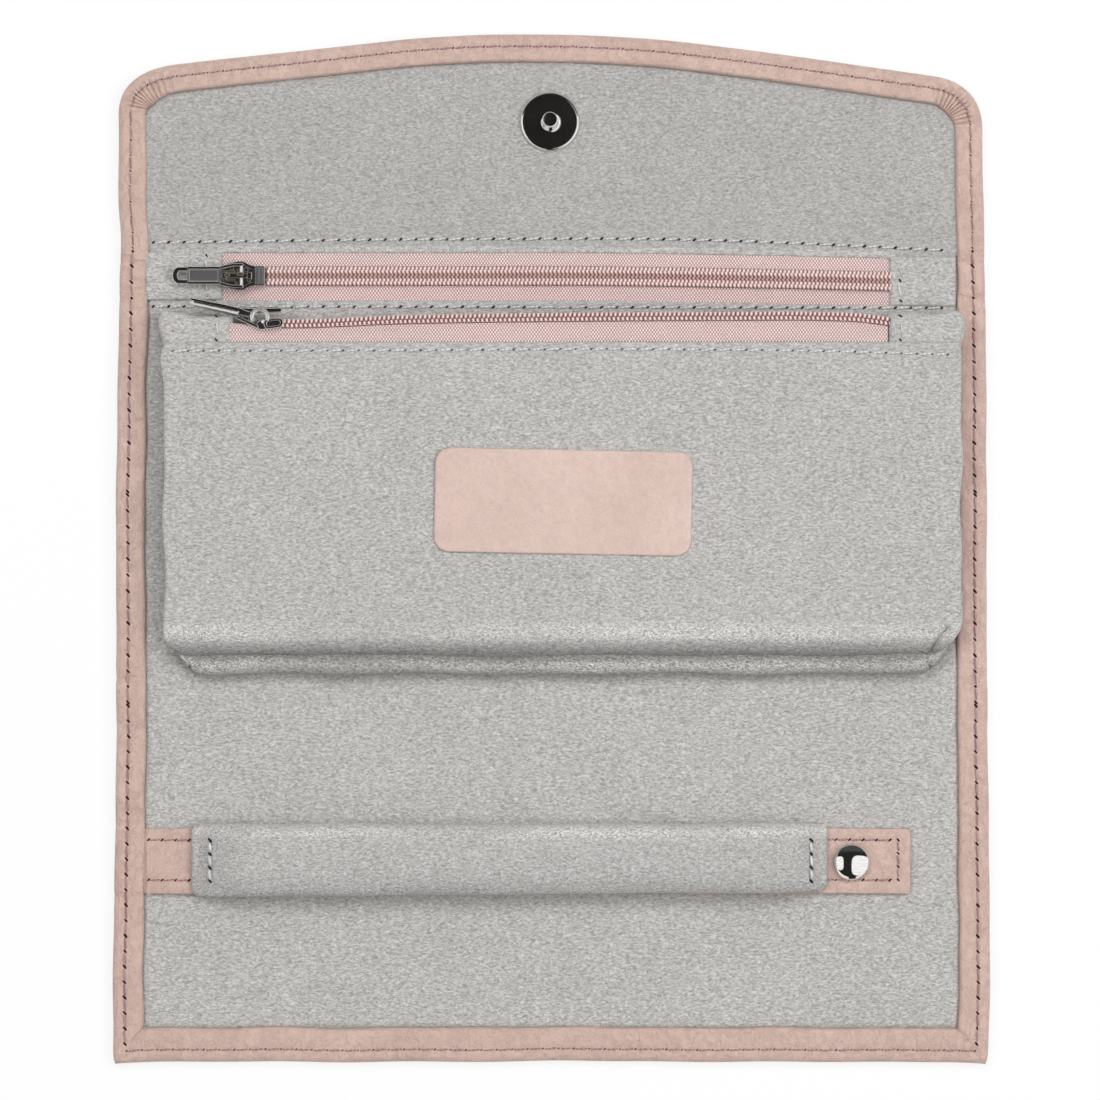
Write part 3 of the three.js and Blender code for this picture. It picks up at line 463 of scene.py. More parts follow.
# the pouch's rolled lower edge: painted highlights, bright specks where its rubbed nap shines, then painted shade
# where the edge turns down and away from the light
POUCH_GREY = suede(
    "pouch_suede",
    lin(173, 171, 168),
    lin(231, 229, 226),
    -0.06,
    1.0,
    ("UV", -0.0255, -0.0125, ((0.0, 0.55), (0.1, 0.6), (0.24, 0.84), (0.34, 1.0), (1.0, 1.0))),
    ((0.28, 0.0), (0.42, 0.8), (0.54, 0.7), (0.72, 0.0)),
)
# the bellows, row by row of its section: painted shade in the groove and under the ridge, and painted highlights in
# specks on the ridge
BELLOWS_GREY = suede(
    "bellows_suede",
    lin(168, 165, 162),
    lin(228, 225, 221),
    -0.06,
    1.5,
    (
        "UV",
        0.0,
        0.021,
        ((0.0, 0.75), (0.24, 0.56), (0.33, 0.64), (0.4, 0.84), (0.55, 0.79), (0.62, 0.62), (0.7, 0.54), (1.0, 0.5)),
    ),
    ((0.36, 0.0), (0.44, 0.6), (0.54, 0.3), (0.6, 0.0)),
)
# the ring roll: painted shade along its lower edge, and painted highlights in specks along its lower and top edges
ROLL_GREY = suede(
    "roll_suede",
    lin(178, 176, 173),
    lin(232, 230, 228),
    -0.03,
    1.3,
    ("Object", -0.0825, -0.0645, ((0.0, 0.6), (0.08, 0.8), (0.2, 0.93), (0.32, 1.0), (1.0, 1.0))),
    ((0.02, 0.0), (0.1, 0.9), (0.24, 0.0), (0.8, 0.0), (0.91, 1.0), (0.99, 0.3)),
)
TAPE = woven("zip_tape", lin(186, 147, 145), lin(253, 239, 236))
COIL, *bare, cloud = speckled(
    "zip_coil", 0.3, 700.0, lin(214, 178, 173), lin(232, 202, 197), 3, Coat_Weight=0.3, Coat_Roughness=0.2
)
bumped(*bare, (cloud, 0.00004, 0.4))
DARK = metal("dark_nickel", (0.8, 0.78, 0.76, 1), 0.1, 0.12)
BLACK = metal("black_nickel", (0.62, 0.58, 0.54, 1), 0.07, 0.06)
# the worn rim: partly wear, and partly painted highlight, pale and half diffuse so that edges catch the lamps
RIM = metal("nickel_rim", (0.86, 0.84, 0.82, 1), 0.3, 0.1, 0.55)
BRIGHT = metal("bright_nickel", (0.97, 0.96, 0.95, 1), 0.05, 0.02)
STEEL = metal("magnet_steel", (0.35, 0.35, 0.36, 1), 0.35, 0.3)
MAUVE = yarn("mauve_thread", lin(150, 112, 120), lin(196, 156, 158))


def beads(name, gap, body, tip):
    """Plastic beads: the first texture coordinate runs from 0 in a gap to 1 on a bead. Its colour is painted shade in
    the gaps and a painted highlight on each bead's crest.
    """
    m, t, b = material(name, 0.34, Coat_Weight=0.25, Coat_Roughness=0.2)
    share = put(t, "SeparateXYZ", Vector=put(t, "TexCoord").outputs["UV"]).outputs["X"]
    t.links.new(ramp(t, share, (0.05, gap), (0.42, body), (1.0, tip)), b.inputs["Base Color"])
    return m


# the gap colours are painted shade and the tip colours painted highlight
CORD = beads("zip_cord", lin(128, 90, 88), lin(216, 182, 177), lin(252, 232, 228))
# darker bead colours for the first zip's middle row: painted shade for its recess
MIDDLE = beads("zip_middle", lin(104, 68, 66), lin(158, 120, 116), lin(214, 180, 175))
TEETH = beads("zip_teeth", lin(96, 58, 56), lin(196, 158, 153), lin(252, 228, 224))
# thin dark lines along the zip chains: painted shade, standing in for the shadow under and between the cords
CHAIN_SHADE = yarn("chain_shade_line", lin(104, 66, 66), lin(150, 108, 106))
BRASS = metal("spring_brass", (0.72, 0.5, 0.22, 1), 0.2, 0.2)
LIGHT_THREAD = yarn("light_thread", lin(198, 199, 201), lin(240, 240, 242))
# the needle holes' near-black colour is painted shade for the hollow of each hole
HOLE = speckled("needle_hole", 0.9, 2500.0, lin(22, 15, 15), lin(52, 38, 38))[0]
BOARD = speckled("inner_board", 0.85, 900.0, lin(150, 146, 140), lin(172, 168, 160))[0]


# The outline of the roll

left_side = through(
    [(-121.3, -103.0), (-116, -102.8), (-104, -102.7), (-83, -102.45), (-62, -102.15), (-45, -101.95), (15, -101.95)]
    + [(30, -101.75), (44, -101.5), (58.5, -101.15), (66, -101.15), (73, -100.9), (80, -101.3), (101.5, -101.35)]
)
right_side = through(
    [(-121.4, 103.1), (-112, 103.25), (-100, 103.4), (-82.7, 103.3), (-55, 103.0), (-33, 102.75), (24, 102.6)]
    + [(38, 102.6), (52, 102.3), (65, 102.2), (80, 101.9), (97.2, 101.65)]
)
ARCH_LEFT = (-87.0, 101.5)
ARCH_RIGHT = (89.6, 97.2)
FULL = 0.78  # under 1, so that the rounded corners are fuller than an ellipse
CORNER_POINTS = 84
ARCH_POINTS = 190
arch_line = through(
    [(-95, 112.9), (-82.4, 114.4), (-57.6, 117.05), (-41.2, 118.85), (-32.9, 119.75), (-24.7, 120.3), (-16.5, 120.7)]
    + [(-4, 120.8), (8.2, 120.6), (16.5, 120.2), (24.7, 119.65), (41.2, 117.8), (57.6, 115.65)]
    + [(74.1, 113.3), (95, 110.3)]
)


def arch(x):
    return arch_line(np.asarray(x, float)) if hasattr(x, "__len__") else float(arch_line(np.array([float(x)]))[0])


def bottom_line(x):
    hang = np.where(np.asarray(x) > 0, 0.75, 0.35) * np.clip((np.abs(x) - 91) / 12, 0, 1) ** 2
    return -120.65 + wobble(x, 5, 47, 0.14) + 0.0005 * abs(x) - hang + 0.45 * np.exp(-(((x - 4) / 10) ** 2))


def edge_wave(y, side):
    return wobble(y, 7 + side, 38, 0.1)


def margin_width(y, side):
    top, low = ((6.5, 7.2), (6.4, 7.3))[side]
    pull = 0.35 * np.exp(-(((y - 63) / 3.6) ** 2)) - 0.25 * np.exp(-(((y - 54) / 3) ** 2))
    return top + (low - top) * np.clip((100 - y) / 220, 0, 1) + wobble(y, 11 + side, 33, 0.16) - pull


def from_edge(y, side, more):
    """X at a distance inward from the left (0) or the right (1) edge."""
    return (left_side, right_side)[side](y) + (1, -1)[side] * (more + edge_wave(y, side))


TOP_MARGIN = 6.45
BOTTOM_MARGIN = 8.0
STITCH_LINE = 2.9  # from the edge to the edge stitching
STITCH_Z = 3.33

# The turned margin's section, from the lip on the lining, over the top and the edge, to the outer face:
# (share of the margin's width, extra distance, height)
PROFILE = [
    (1, -0.5, 1.5),
    (1, 0.02, 1.7),
    (1, 0.06, 2.5),
    (1, -0.14, 3.08),
    (1, -0.42, 3.38),
    (1, -0.9, 3.5),
    (1, -1.9, 3.5),
    (0.62, 0.35, 3.49),
    (0, 3.35, 3.43),
    (0, 2.9, 3.3),
    (0, 2.45, 3.42),
    (0, 1.5, 3.46),
    (0, 0.85, 3.3),
    (0, 0.36, 2.95),
    (0, 0.1, 2.45),
    (0, 0.0, 1.8),
    (0, 0.06, 1.1),
    (0, 0.3, 0.5),
    (0, 0.8, 0.12),
    (0, 1.7, 0.0),
    (0, 2.5, 0.03),
    (0, 2.9, 0.12),
    (0, 3.3, 0.03),
    (0, 5.0, 0.0),
    (1, 1.5, 0.0),
]
TOP_ROWS = 14  # profile points from the lip to the outer edge that pleats and creases move


def creases(y, side):
    """Dents across the side margins, where the leather has been folded."""
    marks = [(67.2, 0.62, 0.62), (58.7, 0.62, 0.66), (-30.5, 0.9, 0.62), (-42.5, 1.1, 0.26)]
    if side == 0:
        marks += [(-65.1, 0.8, 0.4), (-81.4, 0.8, 0.44)]
    out = 0
    for at, reach, deep in marks:
        out = out + deep * np.exp(-(((y - at) / reach) ** 2))
        for k, far in enumerate((-2.1, -1.1, 1.2, 2.3)):
            out = out + deep * 0.34 * np.exp(-(((y - at - far - 0.3 * math.sin(at + k)) / 0.38) ** 2))
    return out


def lift(t, seed):
    return wobble(t, seed, 26, 0.09) + wobble(t, seed + 1, 9, 0.03)


def lifted(k):
    """The share of that unevenness at a profile point: less on the lip and round the edge."""
    return 0.4 if k < 4 or k > 11 else 1.0


def side_strip(ys, side):
    """The margin's patch along a side: rows up the side, columns over the profile."""
    line = (left_side, right_side)[side]
    inward = (1, -1)[side]
    m = margin_width(ys, side)
    edge = line(ys) + inward * edge_wave(ys, side)
    dent = creases(ys, side)
    up = lift(ys, 20 + side)
    out = []
    for k, (share, more, z) in enumerate(PROFILE):
        d = share * m + more
        zz = np.full_like(ys, z)
        if 2 <= k < TOP_ROWS:
            zz = zz - dent * (0.5 if k < 4 else 1.0) + up * lifted(k)
        elif k >= TOP_ROWS + 3:
            zz = np.maximum(zz, 0)
        out.append(np.stack([edge + inward * d + (dent * inward * 0.25 if 8 < k < 19 else 0), ys, zz], -1))
    p = np.stack(out, 1)
    uv = np.stack([np.broadcast_to(ys[:, None], p.shape[:2]), p[..., 0]], -1)
    return p, uv


def top_path():
    """Points, inward normals and places on the corners round the arched end, from left to right."""
    xs, ys, pleat = [], [], []
    n_corner = CORNER_POINTS
    for i in range(n_corner):
        a = math.pi / 2 * i / n_corner
        x = ARCH_LEFT[0] - (ARCH_LEFT[0] - left_side(ARCH_LEFT[1])) * math.cos(a) ** FULL
        ys.append(ARCH_LEFT[1] + (arch(x) - ARCH_LEFT[1]) * math.sin(a) ** FULL)
        xs.append(x)
        pleat.append(i / n_corner)
    for x in np.linspace(ARCH_LEFT[0], ARCH_RIGHT[0], ARCH_POINTS):
        xs.append(x)
        ys.append(arch(x))
        pleat.append(-1)
    for i in range(1, n_corner + 1):
        a = math.pi / 2 * (1 - i / n_corner)
        x = ARCH_RIGHT[0] + (right_side(ARCH_RIGHT[1]) - ARCH_RIGHT[0]) * math.cos(a) ** FULL
        ys.append(ARCH_RIGHT[1] + (arch(x) - ARCH_RIGHT[1]) * max(0, math.sin(a)) ** FULL)
        xs.append(x)
        pleat.append(1 - i / n_corner)
    p = np.array([xs, ys], float).T
    return p, beside(np.gradient(p, axis=0)), np.array(pleat, float)


def arch_width():
    """The margin's width along top_path, wider round the corners."""
    n_corner = CORNER_POINTS
    w = np.full(2 * n_corner + ARCH_POINTS, TOP_MARGIN)
    w[:n_corner] = np.linspace(margin_width(ARCH_LEFT[1], 0), TOP_MARGIN, n_corner)
    w[-n_corner:] = np.linspace(TOP_MARGIN, margin_width(ARCH_RIGHT[1], 1), n_corner)
    swell = np.sin(np.linspace(0, math.pi, n_corner)) ** 2
    w[:n_corner] += 0.9 * swell
    w[-n_corner:] += 0.9 * swell
    return w


def top_strip():
    p, normal, pleat = top_path()
    w = arch_width()
    along = walked(p)
    edge_in = np.zeros(len(p))
    edge_in[:20] = np.linspace(edge_wave(ARCH_LEFT[1], 0), 0, 20)
    edge_in[-20:] = np.linspace(0, edge_wave(ARCH_RIGHT[1], 1), 20)
    folds = np.where(pleat >= 0, 0.5 - 0.5 * np.cos(pleat * 2 * math.pi * 12.5), 0)
    folds = np.where(pleat >= 0, folds**5 * np.clip(pleat * 9, 0, 1) * np.clip((1 - pleat) * 9, 0, 1), 0)
    up = lift(along, 31)
    up[:30] += np.linspace(1, 0, 30) * (lift(ARCH_LEFT[1], 20) - up[0])
    up[-30:] += np.linspace(0, 1, 30) * (lift(ARCH_RIGHT[1], 21) - up[-1])
    out = []
    for k, (share, more, z) in enumerate(PROFILE):
        d = share * w + more
        zz = np.full(len(p), z)
        if 2 <= k < TOP_ROWS:
            deep = 0.72 * np.clip((d - 0.9) / 2.2, 0, 1) * (0.75 if k < 4 else 1)
            zz = zz - folds * deep + up * lifted(k)
        q = p + normal * (d + edge_in)[:, None]
        out.append(np.concatenate([q, zz[:, None]], 1))
    g = np.stack(out, 1)
    uv = np.stack([np.broadcast_to(along[:, None], g.shape[:2]), g[..., 1]], -1)
    return g, uv


MITRE_Y = -108.5


def lower_corner(side, n=14):
    """The side margin's last rows, which end on the mitre."""
    line = (left_side, right_side)[side]
    inward = (1, -1)[side]
    cols = []
    for k, (share, more, z) in enumerate(PROFILE):
        d_low = share * BOTTOM_MARGIN + more
        x_tip = line(-120.9) + inward * (share * margin_width(-113.0, side) + more + edge_wave(-113.0, side))
        y_tip = bottom_line(x_tip) + d_low
        s = np.linspace(0, 1, n)
        y = MITRE_Y + (y_tip - MITRE_Y) * s
        x0 = line(y) + inward * (share * margin_width(y, side) + more + edge_wave(y, side))
        x = x0 + (x_tip - x0[-1]) * s**2 + (inward * 0.7 * s**10 if share == 0 else 0)
        zz = np.full(n, z)
        if 2 <= k < TOP_ROWS:
            zz = zz + lift(y, 20 + side) * lifted(k)
            zz = zz - np.r_[np.zeros(n - 2), 0.12, 0.62] * np.clip((d_low - 1.2) / 1.5, 0, 1)
        cols.append(np.stack([x, y, zz], -1))
    return np.stack(cols, 1)


def bottom_strip(n=150):
    """The margin along the straight lower edge, between both mitres, from left to right."""
    left = lower_corner(0)[-1]
    right = lower_corner(1)[-1]
    cols = []
    for k, (share, more, z) in enumerate(PROFILE):
        s = np.r_[0, 0.004, np.linspace(0.012, 0.988, n - 4), 0.996, 1]
        x = left[k, 0] + (right[k, 0] - left[k, 0]) * s
        d = share * (BOTTOM_MARGIN + wobble(x, 41, 40, 0.18) * np.sin(math.pi * s) ** 0.4) + more
        y = bottom_line(x) + d
        y[0], y[-1] = left[k, 1], right[k, 1]
        zz = np.full(n, z)
        if 2 <= k < TOP_ROWS:
            zz = zz + lift(x, 43) * np.clip(np.sin(math.pi * s) * 6, 0, 1) * lifted(k)
            zz[0], zz[-1] = left[k, 2], right[k, 2]
        cols.append(np.stack([x, y, zz], -1))
    return np.stack(cols, 1)


def section_rows(name, step=2.4):
    low, high = {
        "flap": (CUT_TOP, ARCH_RIGHT[1]),
        "upper": (CUT_BACK, CUT_TOP),
        "lower": (CUT_BOTTOM, CUT_BACK),
        "front": (MITRE_Y, CUT_BOTTOM),
    }[name]
    return rows(
        low,
        high,
        step,
        (FOLD_1, 5, 0.7),
        (67.2, 3.4, 0.35),
        (FOLD_1, 4.0, 0.35),
        (FOLD_2, 4.4, 0.8),
        (FOLD_3, 4.4, 0.35),
        (FOLD_4, 4.6, 0.5),
        (-65.1, 3, 0.4),
        (-81.4, 3, 0.4),
    )


ACROSS = np.linspace(0, 1, 40)  # the outer face's columns between both margins


def underside(shape, left, right):
    """The outer face between both margins, row by row."""
    s = ACROSS[None, :, None]
    shape.grid(left[:, None] * (1 - s) + right[:, None] * s)


def cover(name):
    s = Shape()
    ys = section_rows(name)
    ys_left = np.r_[ys, rows(ARCH_RIGHT[1], ARCH_LEFT[1], 1.3)[1:]] if name == "flap" else ys
    pl, ul = side_strip(ys_left, 0)
    pr, ur = side_strip(ys, 1)
    s.grid(pl, ul)
    s.grid(pr, ur)
    underside(s, pl[: len(ys), -1], pr[:, -1])
    if name == "flap":
        g, uv = top_strip()
        g[0] = pl[-1]
        g[-1] = pr[-1]
        base = s.grid(g, uv)
        c = len(PROFILE)
        rim = [base + i * c + c - 1 for i in range(len(g))]
        a, b = pl[len(ys) - 1, -1], pr[-1, -1]
        first = len(s.points)
        line = [a + (b - a) * t for t in ACROSS[1:-1]]
        for q in [*pl[len(ys) - 1 : -1, -1], *line[::-1]]:
            s.points.append(list(q))
            s.uvs.append([q[0], q[1]])
        count = len(ys_left) - len(ys)
        s.face([*range(first, first + count), *rim, *range(first + count, first + count + len(line))])
    if name == "front":
        lows = []
        for side, strip in ((0, pl), (1, pr)):
            g = lower_corner(side)
            g[0] = strip[0]
            s.grid(g[::-1])
            lows.append(g)
        g = bottom_strip()
        s.grid(g)
        la, lb = lows[0][:, -1], lows[1][:, -1]
        t = ACROSS[None, :, None]
        fill = la[:, None] * (1 - t) + lb[:, None] * t
        fill[-1] = np.stack([np.interp(fill[-1][:, 0], g[:, -1, 0], g[:, -1, k]) for k in range(3)], -1)
        fill[-1][:, 0] = np.linspace(la[-1][0], lb[-1][0], len(ACROSS))
        s.grid(fill)
    o = s.done("leather_cover_" + name, PINK, outward=False)
    welded(o, 0.00002)
    under = [f.normal.z for f in o.data.polygons if f.center.z < 0.00005 and abs(f.normal.z) > 0.9]
    if sum(under) > 0:
        o.data.flip_normals()
    o.data.polygons.foreach_set("use_smooth", [True] * len(o.data.polygons))
    return o


COVER_NODES = {
    "flap": ["cover_flap"],
    "upper": ["cover_back", "cover_top_spine"],
    "lower": ["cover_bottom_spine"],
    "front": ["cover_front"],
}
covers = {}
for part in SECTIONS:
    covers[part] = cover(part)
    fold_with(covers[part], part)
    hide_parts(*COVER_NODES[part])


# The suede lining

askew = through([(-100, 0), (-20, 0), (10, 0), (27, -0.2), (44, -0.5), (62, -0.85), (80, -1.25), (100, -1.45)])


def shifted(x, y):
    """Heights up the roll near the first zip, where its right end lies lower."""
    share = np.clip((y - 52.5) / 4, 0, 1) * np.clip((80 - y) / 8, 0, 1)
    return y + askew(x) * share * share * (3 - 2 * share)


def lining_z(x, y):
    z = LINING_Z - 0.12 + wobble(x + 0.35 * y, 51, 58, 0.1) + wobble(y - 0.2 * x, 52, 44, 0.1)
    for at, reach, deep in ((FOLD_1, 1.2, 0.3), (FOLD_2 - 1.4, 1.4, 0.12), (FOLD_3, 1.5, 0.3), (FOLD_4, 2.2, 0.12)):
        z = z - deep * np.exp(-(((y - at) / reach) ** 2))
    return z


TUCKED = 1.6  # how far the lining runs on under the margins


def lining(name):
    ys = section_rows(name, 2.6)
    if name == "upper":
        ys = [float(y) for y in ys if min(abs(y - WINDOW[2]), abs(y - WINDOW[3])) > 0.3]
        ys = np.array(sorted({*ys, WINDOW[2], WINDOW[3]}))
    lip_left = lambda y: left_side(y) + margin_width(y, 0) + edge_wave(y, 0)
    lip_right = lambda y: right_side(y) - margin_width(y, 1) - edge_wave(y, 1)
    inside_left = lambda y: lip_left(y) - TUCKED
    inside_right = lambda y: lip_right(y) + TUCKED
    near = np.array([0.0, 0.35, 0.8, 1.4])
    s = Shape()
    lines = np.array(sorted({*np.linspace(-92, 92, 71).round(3), WINDOW[0], WINDOW[1]}))
    row = lambda y: np.r_[inside_left(y), lip_left(y) + near, lines, lip_right(y) - near[::-1], inside_right(y)]
    if name == "flap":
        v = np.r_[0, 0.03, 0.06, 0.09, 0.12, np.linspace(0.16, 0.92, 20), 0.935, 0.95, 0.96, 0.97, 0.98, 1]
        x = np.r_[-96.3, -94.75, -94.4, -93.9, lines, 93.9, 94.6, 95.0, 96.6]
        top = arch(x) - TOP_MARGIN + TUCKED
        for k, q in enumerate(x):
            for centre, end in ((ARCH_LEFT[0], inside_left(100.0)), (ARCH_RIGHT[0], inside_right(100.0))):
                reach = abs(end - centre)
                beyond = (abs(q) - abs(centre)) if q * centre > 0 else -1
                if beyond > 0:
                    low = 99.5 if centre < 0 else 96.5
                    top[k] = low + (top[k] - low) * math.sqrt(max(0.02, 1 - min(1, beyond / reach) ** 2))
        py = CUT_TOP + (top[None] - CUT_TOP) * v[:, None]
        px = np.broadcast_to(x[None], py.shape)
        sunk = np.exp(-(((top[None] - 1.75 - py) / 0.5) ** 2)) + (py > top[None] - 1.75)
    else:
        if name == "front":
            ys = np.r_[-114.4, -112.75, -112.4, -111.9, -111.2, ys]
        px = np.stack([row(y) for y in ys])
        py = np.broadcast_to(ys[:, None], px.shape)
        sunk = sum(np.exp(-(((px - lip(py)) / 0.42) ** 2)) for lip in (lip_left, lip_right))
        sunk = np.maximum(sunk, (px < lip_left(py)) | (px > lip_right(py)))
        if name == "front":
            sunk = np.maximum(sunk, np.exp(-(((py + 112.65) / 0.42) ** 2)))
            sunk = np.maximum(sunk, py < -112.7)
    py = shifted(px, py)
    p = np.stack([px, py, lining_z(px, py) - 0.7 * np.clip(sunk, 0, 1)], -1)

    def skip(i, j):
        if name != "upper":
            return False
        cx = (px[i, j] + px[i, j + 1]) / 2
        cy = (ys[i] + ys[i + 1]) / 2
        return WINDOW[0] < cx < WINDOW[1] and WINDOW[2] < cy < WINDOW[3]

    s.grid(p, skip=skip)
    # the flap's lining takes the darker copy of the suede, painted shade
    return s.done("suede_lining_" + name, FLAP_SHADED_GREY if name == "flap" else GREY, outward=False)


LINING_NODES = {
    "flap": ["lining_flap"],
    "upper": ["lining_back", "lining_top_spine"],
    "lower": ["lining_bottom_spine"],
    "front": ["lining_front"],
}
linings = {}
for part in SECTIONS:
    linings[part] = lining(part)
    fold_with(linings[part], part)
    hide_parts(*LINING_NODES[part])


# The rolled edge of the first zip's window

def ring_of(x0, x1, y0, y1, r, n=6, step=2.2):
    """A closed path round a rectangle with rounded corners, anticlockwise from the lower left."""
    pts = []
    corners = [(x0 + r, y0 + r, 180), (x1 - r, y0 + r, 270), (x1 - r, y1 - r, 0), (x0 + r, y1 - r, 90)]
    for k, (cx, cy, a) in enumerate(corners):
        turns = [math.radians(a + 90 * i / n) for i in range(n + 1)]
        arc = [(cx + r * math.cos(t), cy + r * math.sin(t)) for t in turns]
        pts += arc
        nx, ny, na = corners[(k + 1) % 4]
        q = (nx + r * math.cos(math.radians(na)), ny + r * math.sin(math.radians(na)))
        (x, y), far = arc[-1], math.dist(arc[-1], q)
        m = max(1, int(far / step))
        pts += [(x + (q[0] - x) * i / m, y + (q[1] - y) * i / m) for i in range(1, m)]
    return np.array(pts)


s = Shape()
window = ring_of(*WINDOW, 0.6)
out = beside(np.roll(window, -1, 0) - np.roll(window, 1, 0))
lip = [(1.6, 2.32), (0.9, 2.5), (0.35, 2.58), (0.0, 2.45), (-0.12, 2.1), (0.1, 1.85)]
rim = []
for d, z in lip:
    q = window + out * d
    q[:, 1] = shifted(q[:, 0], q[:, 1])
    rim.append(np.concatenate([q, np.full((len(q), 1), z) + wobble(q[:, :1], 61, 21, 0.04)], 1))
s.grid(np.stack(rim), wrap=True)
window_lip = fold_with(s.done("zip1_window_lip", GREY), "upper")


# Rows of stitches

# A thread run's (place along it, height, thickness), from hole to hole
RUN = [(-1.0, -0.34, 0.7), (-0.86, 0.0, 0.86), (-0.5, 0.16, 1.0), (0, 0.2, 1.05)]
RUN += [(-u, h, r) for u, h, r in RUN[2::-1]]
UP = np.array([0, 0, 1.0])


def stitches(
    shape, line, pitch=STITCH, length=2.75, radius=0.21, slant=0.12, start=0.4, above=0.14, bore=0.8
):
    """Thread runs (kind 0) and their needle holes (kind 1) along a polyline on a surface. Each hole is a small
    near-black patch, painted shade for the hollow of the hole.
    """
    line = np.asarray(line, float)
    far = walked(line)
    n = int((far[-1] - 2 * start) / pitch)
    if n < 1:
        return
    gap = (far[-1] - 2 * start) / n
    at = lambda u: np.array([np.interp(u, far, line[:, k]) for k in range(3)])
    for i in range(n):
        mid = start + (i + 0.5) * gap
        half = length / 2 * (1 + 0.05 * math.sin(i * 2.4))
        a, b = at(mid - half), at(mid + half)
        d = b - a
        d /= np.linalg.norm(d)
        across = np.array([-d[1], d[0], 0])
        lean = slant * (1 + 0.3 * math.sin(i * 1.7))
        pts, rad = [], []
        for u, h, r in RUN:
            pts.append((a + b) / 2 + d * half * u + across * lean * u + UP * (above + h))
            rad.append(radius * r)
        shape.tube(pts, rad, sides=7)
    # each hole: a small near-black patch, painted shade for the hollow of the hole
    for i in range(n + 1):
        p = at(start + i * gap)
        q = at(min(far[-1], start + i * gap + 0.6)) - at(max(0, start + i * gap - 0.6))
        q /= max(np.linalg.norm(q), 1e-9)
        across = np.array([-q[1], q[0], 0])
        size = bore * (1 + 0.12 * math.sin(i * 2.9))
        long, wide = (q * 0.44 + across * 0.4) * size, (across * 0.2 - q * 0.16) * size
        ring = [p + long * math.cos(a) + wide * math.sin(a) + UP * 0.09 for a in np.arange(10) * math.pi / 5]
        base = len(shape.points)
        for r in [*ring, p + UP * 0.12]:
            shape.points.append(list(r))
            shape.uvs.append([r[0], r[1]])
        for k in range(10):
            shape.face([base + k, base + (k + 1) % 10, base + 10], kind=1)


def margin_line(part):
    """The edge stitching's lines on top of a section's margin."""
    lines = []
    ys = section_rows(part)
    if part != "flap":
        low = MITRE_Y - 8.2 if part == "front" else ys[0]
        ys = np.r_[low, ys[1:]] if part == "front" else ys
        for side in (0, 1):
            z = STITCH_Z - creases(ys, side) + lift(ys, 20 + side)
            lines.append(np.stack([from_edge(ys, side, STITCH_LINE), ys, z], -1))
        if part == "front":
            x = np.linspace(lines[0][0, 0], lines[1][0, 0], 160)
            lines.append(np.stack([x, bottom_line(x) + STITCH_LINE + 0.05, STITCH_Z + lift(x, 43)], -1))
        return lines
    p, normal, _ = top_path()
    q = p + normal * STITCH_LINE
    along = walked(p)
    ring = np.concatenate([q, (STITCH_Z + lift(along, 31))[:, None]], 1)
    legs = []
    for side, stop in ((0, ARCH_LEFT[1]), (1, ARCH_RIGHT[1])):
        y = np.arange(CUT_TOP, stop, 2.0)
        z = STITCH_Z - creases(y, side) + lift(y, 20 + side)
        legs.append(np.stack([from_edge(y, side, STITCH_LINE), y, z], -1))
    return [np.concatenate([legs[0], ring, legs[1][::-1]])]


def under_line(line):
    q = np.array(line, float)
    q[:, 2] = 0.1
    return q


for part in SECTIONS:
    s = Shape()
    for line in margin_line(part):
        across = abs(line[-1, 0] - line[0, 0]) > 50
        stitches(s, line, radius=0.16 if across else 0.19, bore=0.55 if across else 1.1)
    top = s.done("margin_stitches_" + part, MAUVE, HOLE)
    fold_with(top, part)
    s = Shape()
    for line in margin_line(part):
        low = under_line(line)
        low[:, 2] *= -1
        stitches(s, low, above=0.0, radius=0.2)
    for p in s.points:
        p[2] = 0.04 - 0.35 * (p[2] + 0.1)
    low = s.done("outer_stitches_" + part, MAUVE, HOLE)
    fold_with(low, part)


def seam(name, keys, part):
    """A sewn row across the lining, along a smooth curve through (x, y) keys."""
    x = np.arange(-93.6, 94.3, 2.0)
    y = through(keys)(x)
    s = Shape()
    stitches(s, np.stack([x, y, lining_z(x, y) + 0.12], -1), radius=0.22, slant=0.2, bore=0.85)
    o = fold_with(s.done(name, LIGHT_THREAD, HOLE), part)


seam("window_stitches_upper", [(-95, 71.9), (-20, 72.7), (30, 72.6), (70, 71.2), (95, 69.9)], "flap")
seam("window_stitches_lower", [(-95, 56.9), (0, 56.7), (95, 56.5)], "upper")


# Panels: sheets with a rounded rectangle's outline and soft edges

def ring_points(box, radii, counts, n):
    """An anticlockwise rounded rectangle from the lower left corner, with fixed numbers of points."""
    x0, x1, y0, y1 = box
    centres = [
        (x0 + radii[0], y0 + radii[0], 180),
        (x1 - radii[1], y0 + radii[1], 270),
        (x1 - radii[2], y1 - radii[2], 0),
        (x0 + radii[3], y1 - radii[3], 90),
    ]
    pts = []
    for k, (cx, cy, a) in enumerate(centres):
        turn = np.radians(a + 90 * np.arange(n + 1) / n)
        arc = np.stack([cx + radii[k] * np.cos(turn), cy + radii[k] * np.sin(turn)], -1)
        nx, ny, na = centres[(k + 1) % 4]
        nr = radii[(k + 1) % 4]
        q = np.array([nx + nr * math.cos(math.radians(na)), ny + nr * math.sin(math.radians(na))])
        t = (np.arange(1, counts[k % 2]) / counts[k % 2])[:, None]
        pts += [arc, arc[-1] * (1 - t) + q * t]
    return np.concatenate(pts)


def inner_radius(r, d):
    return max(r - d, min(r, 1.1))


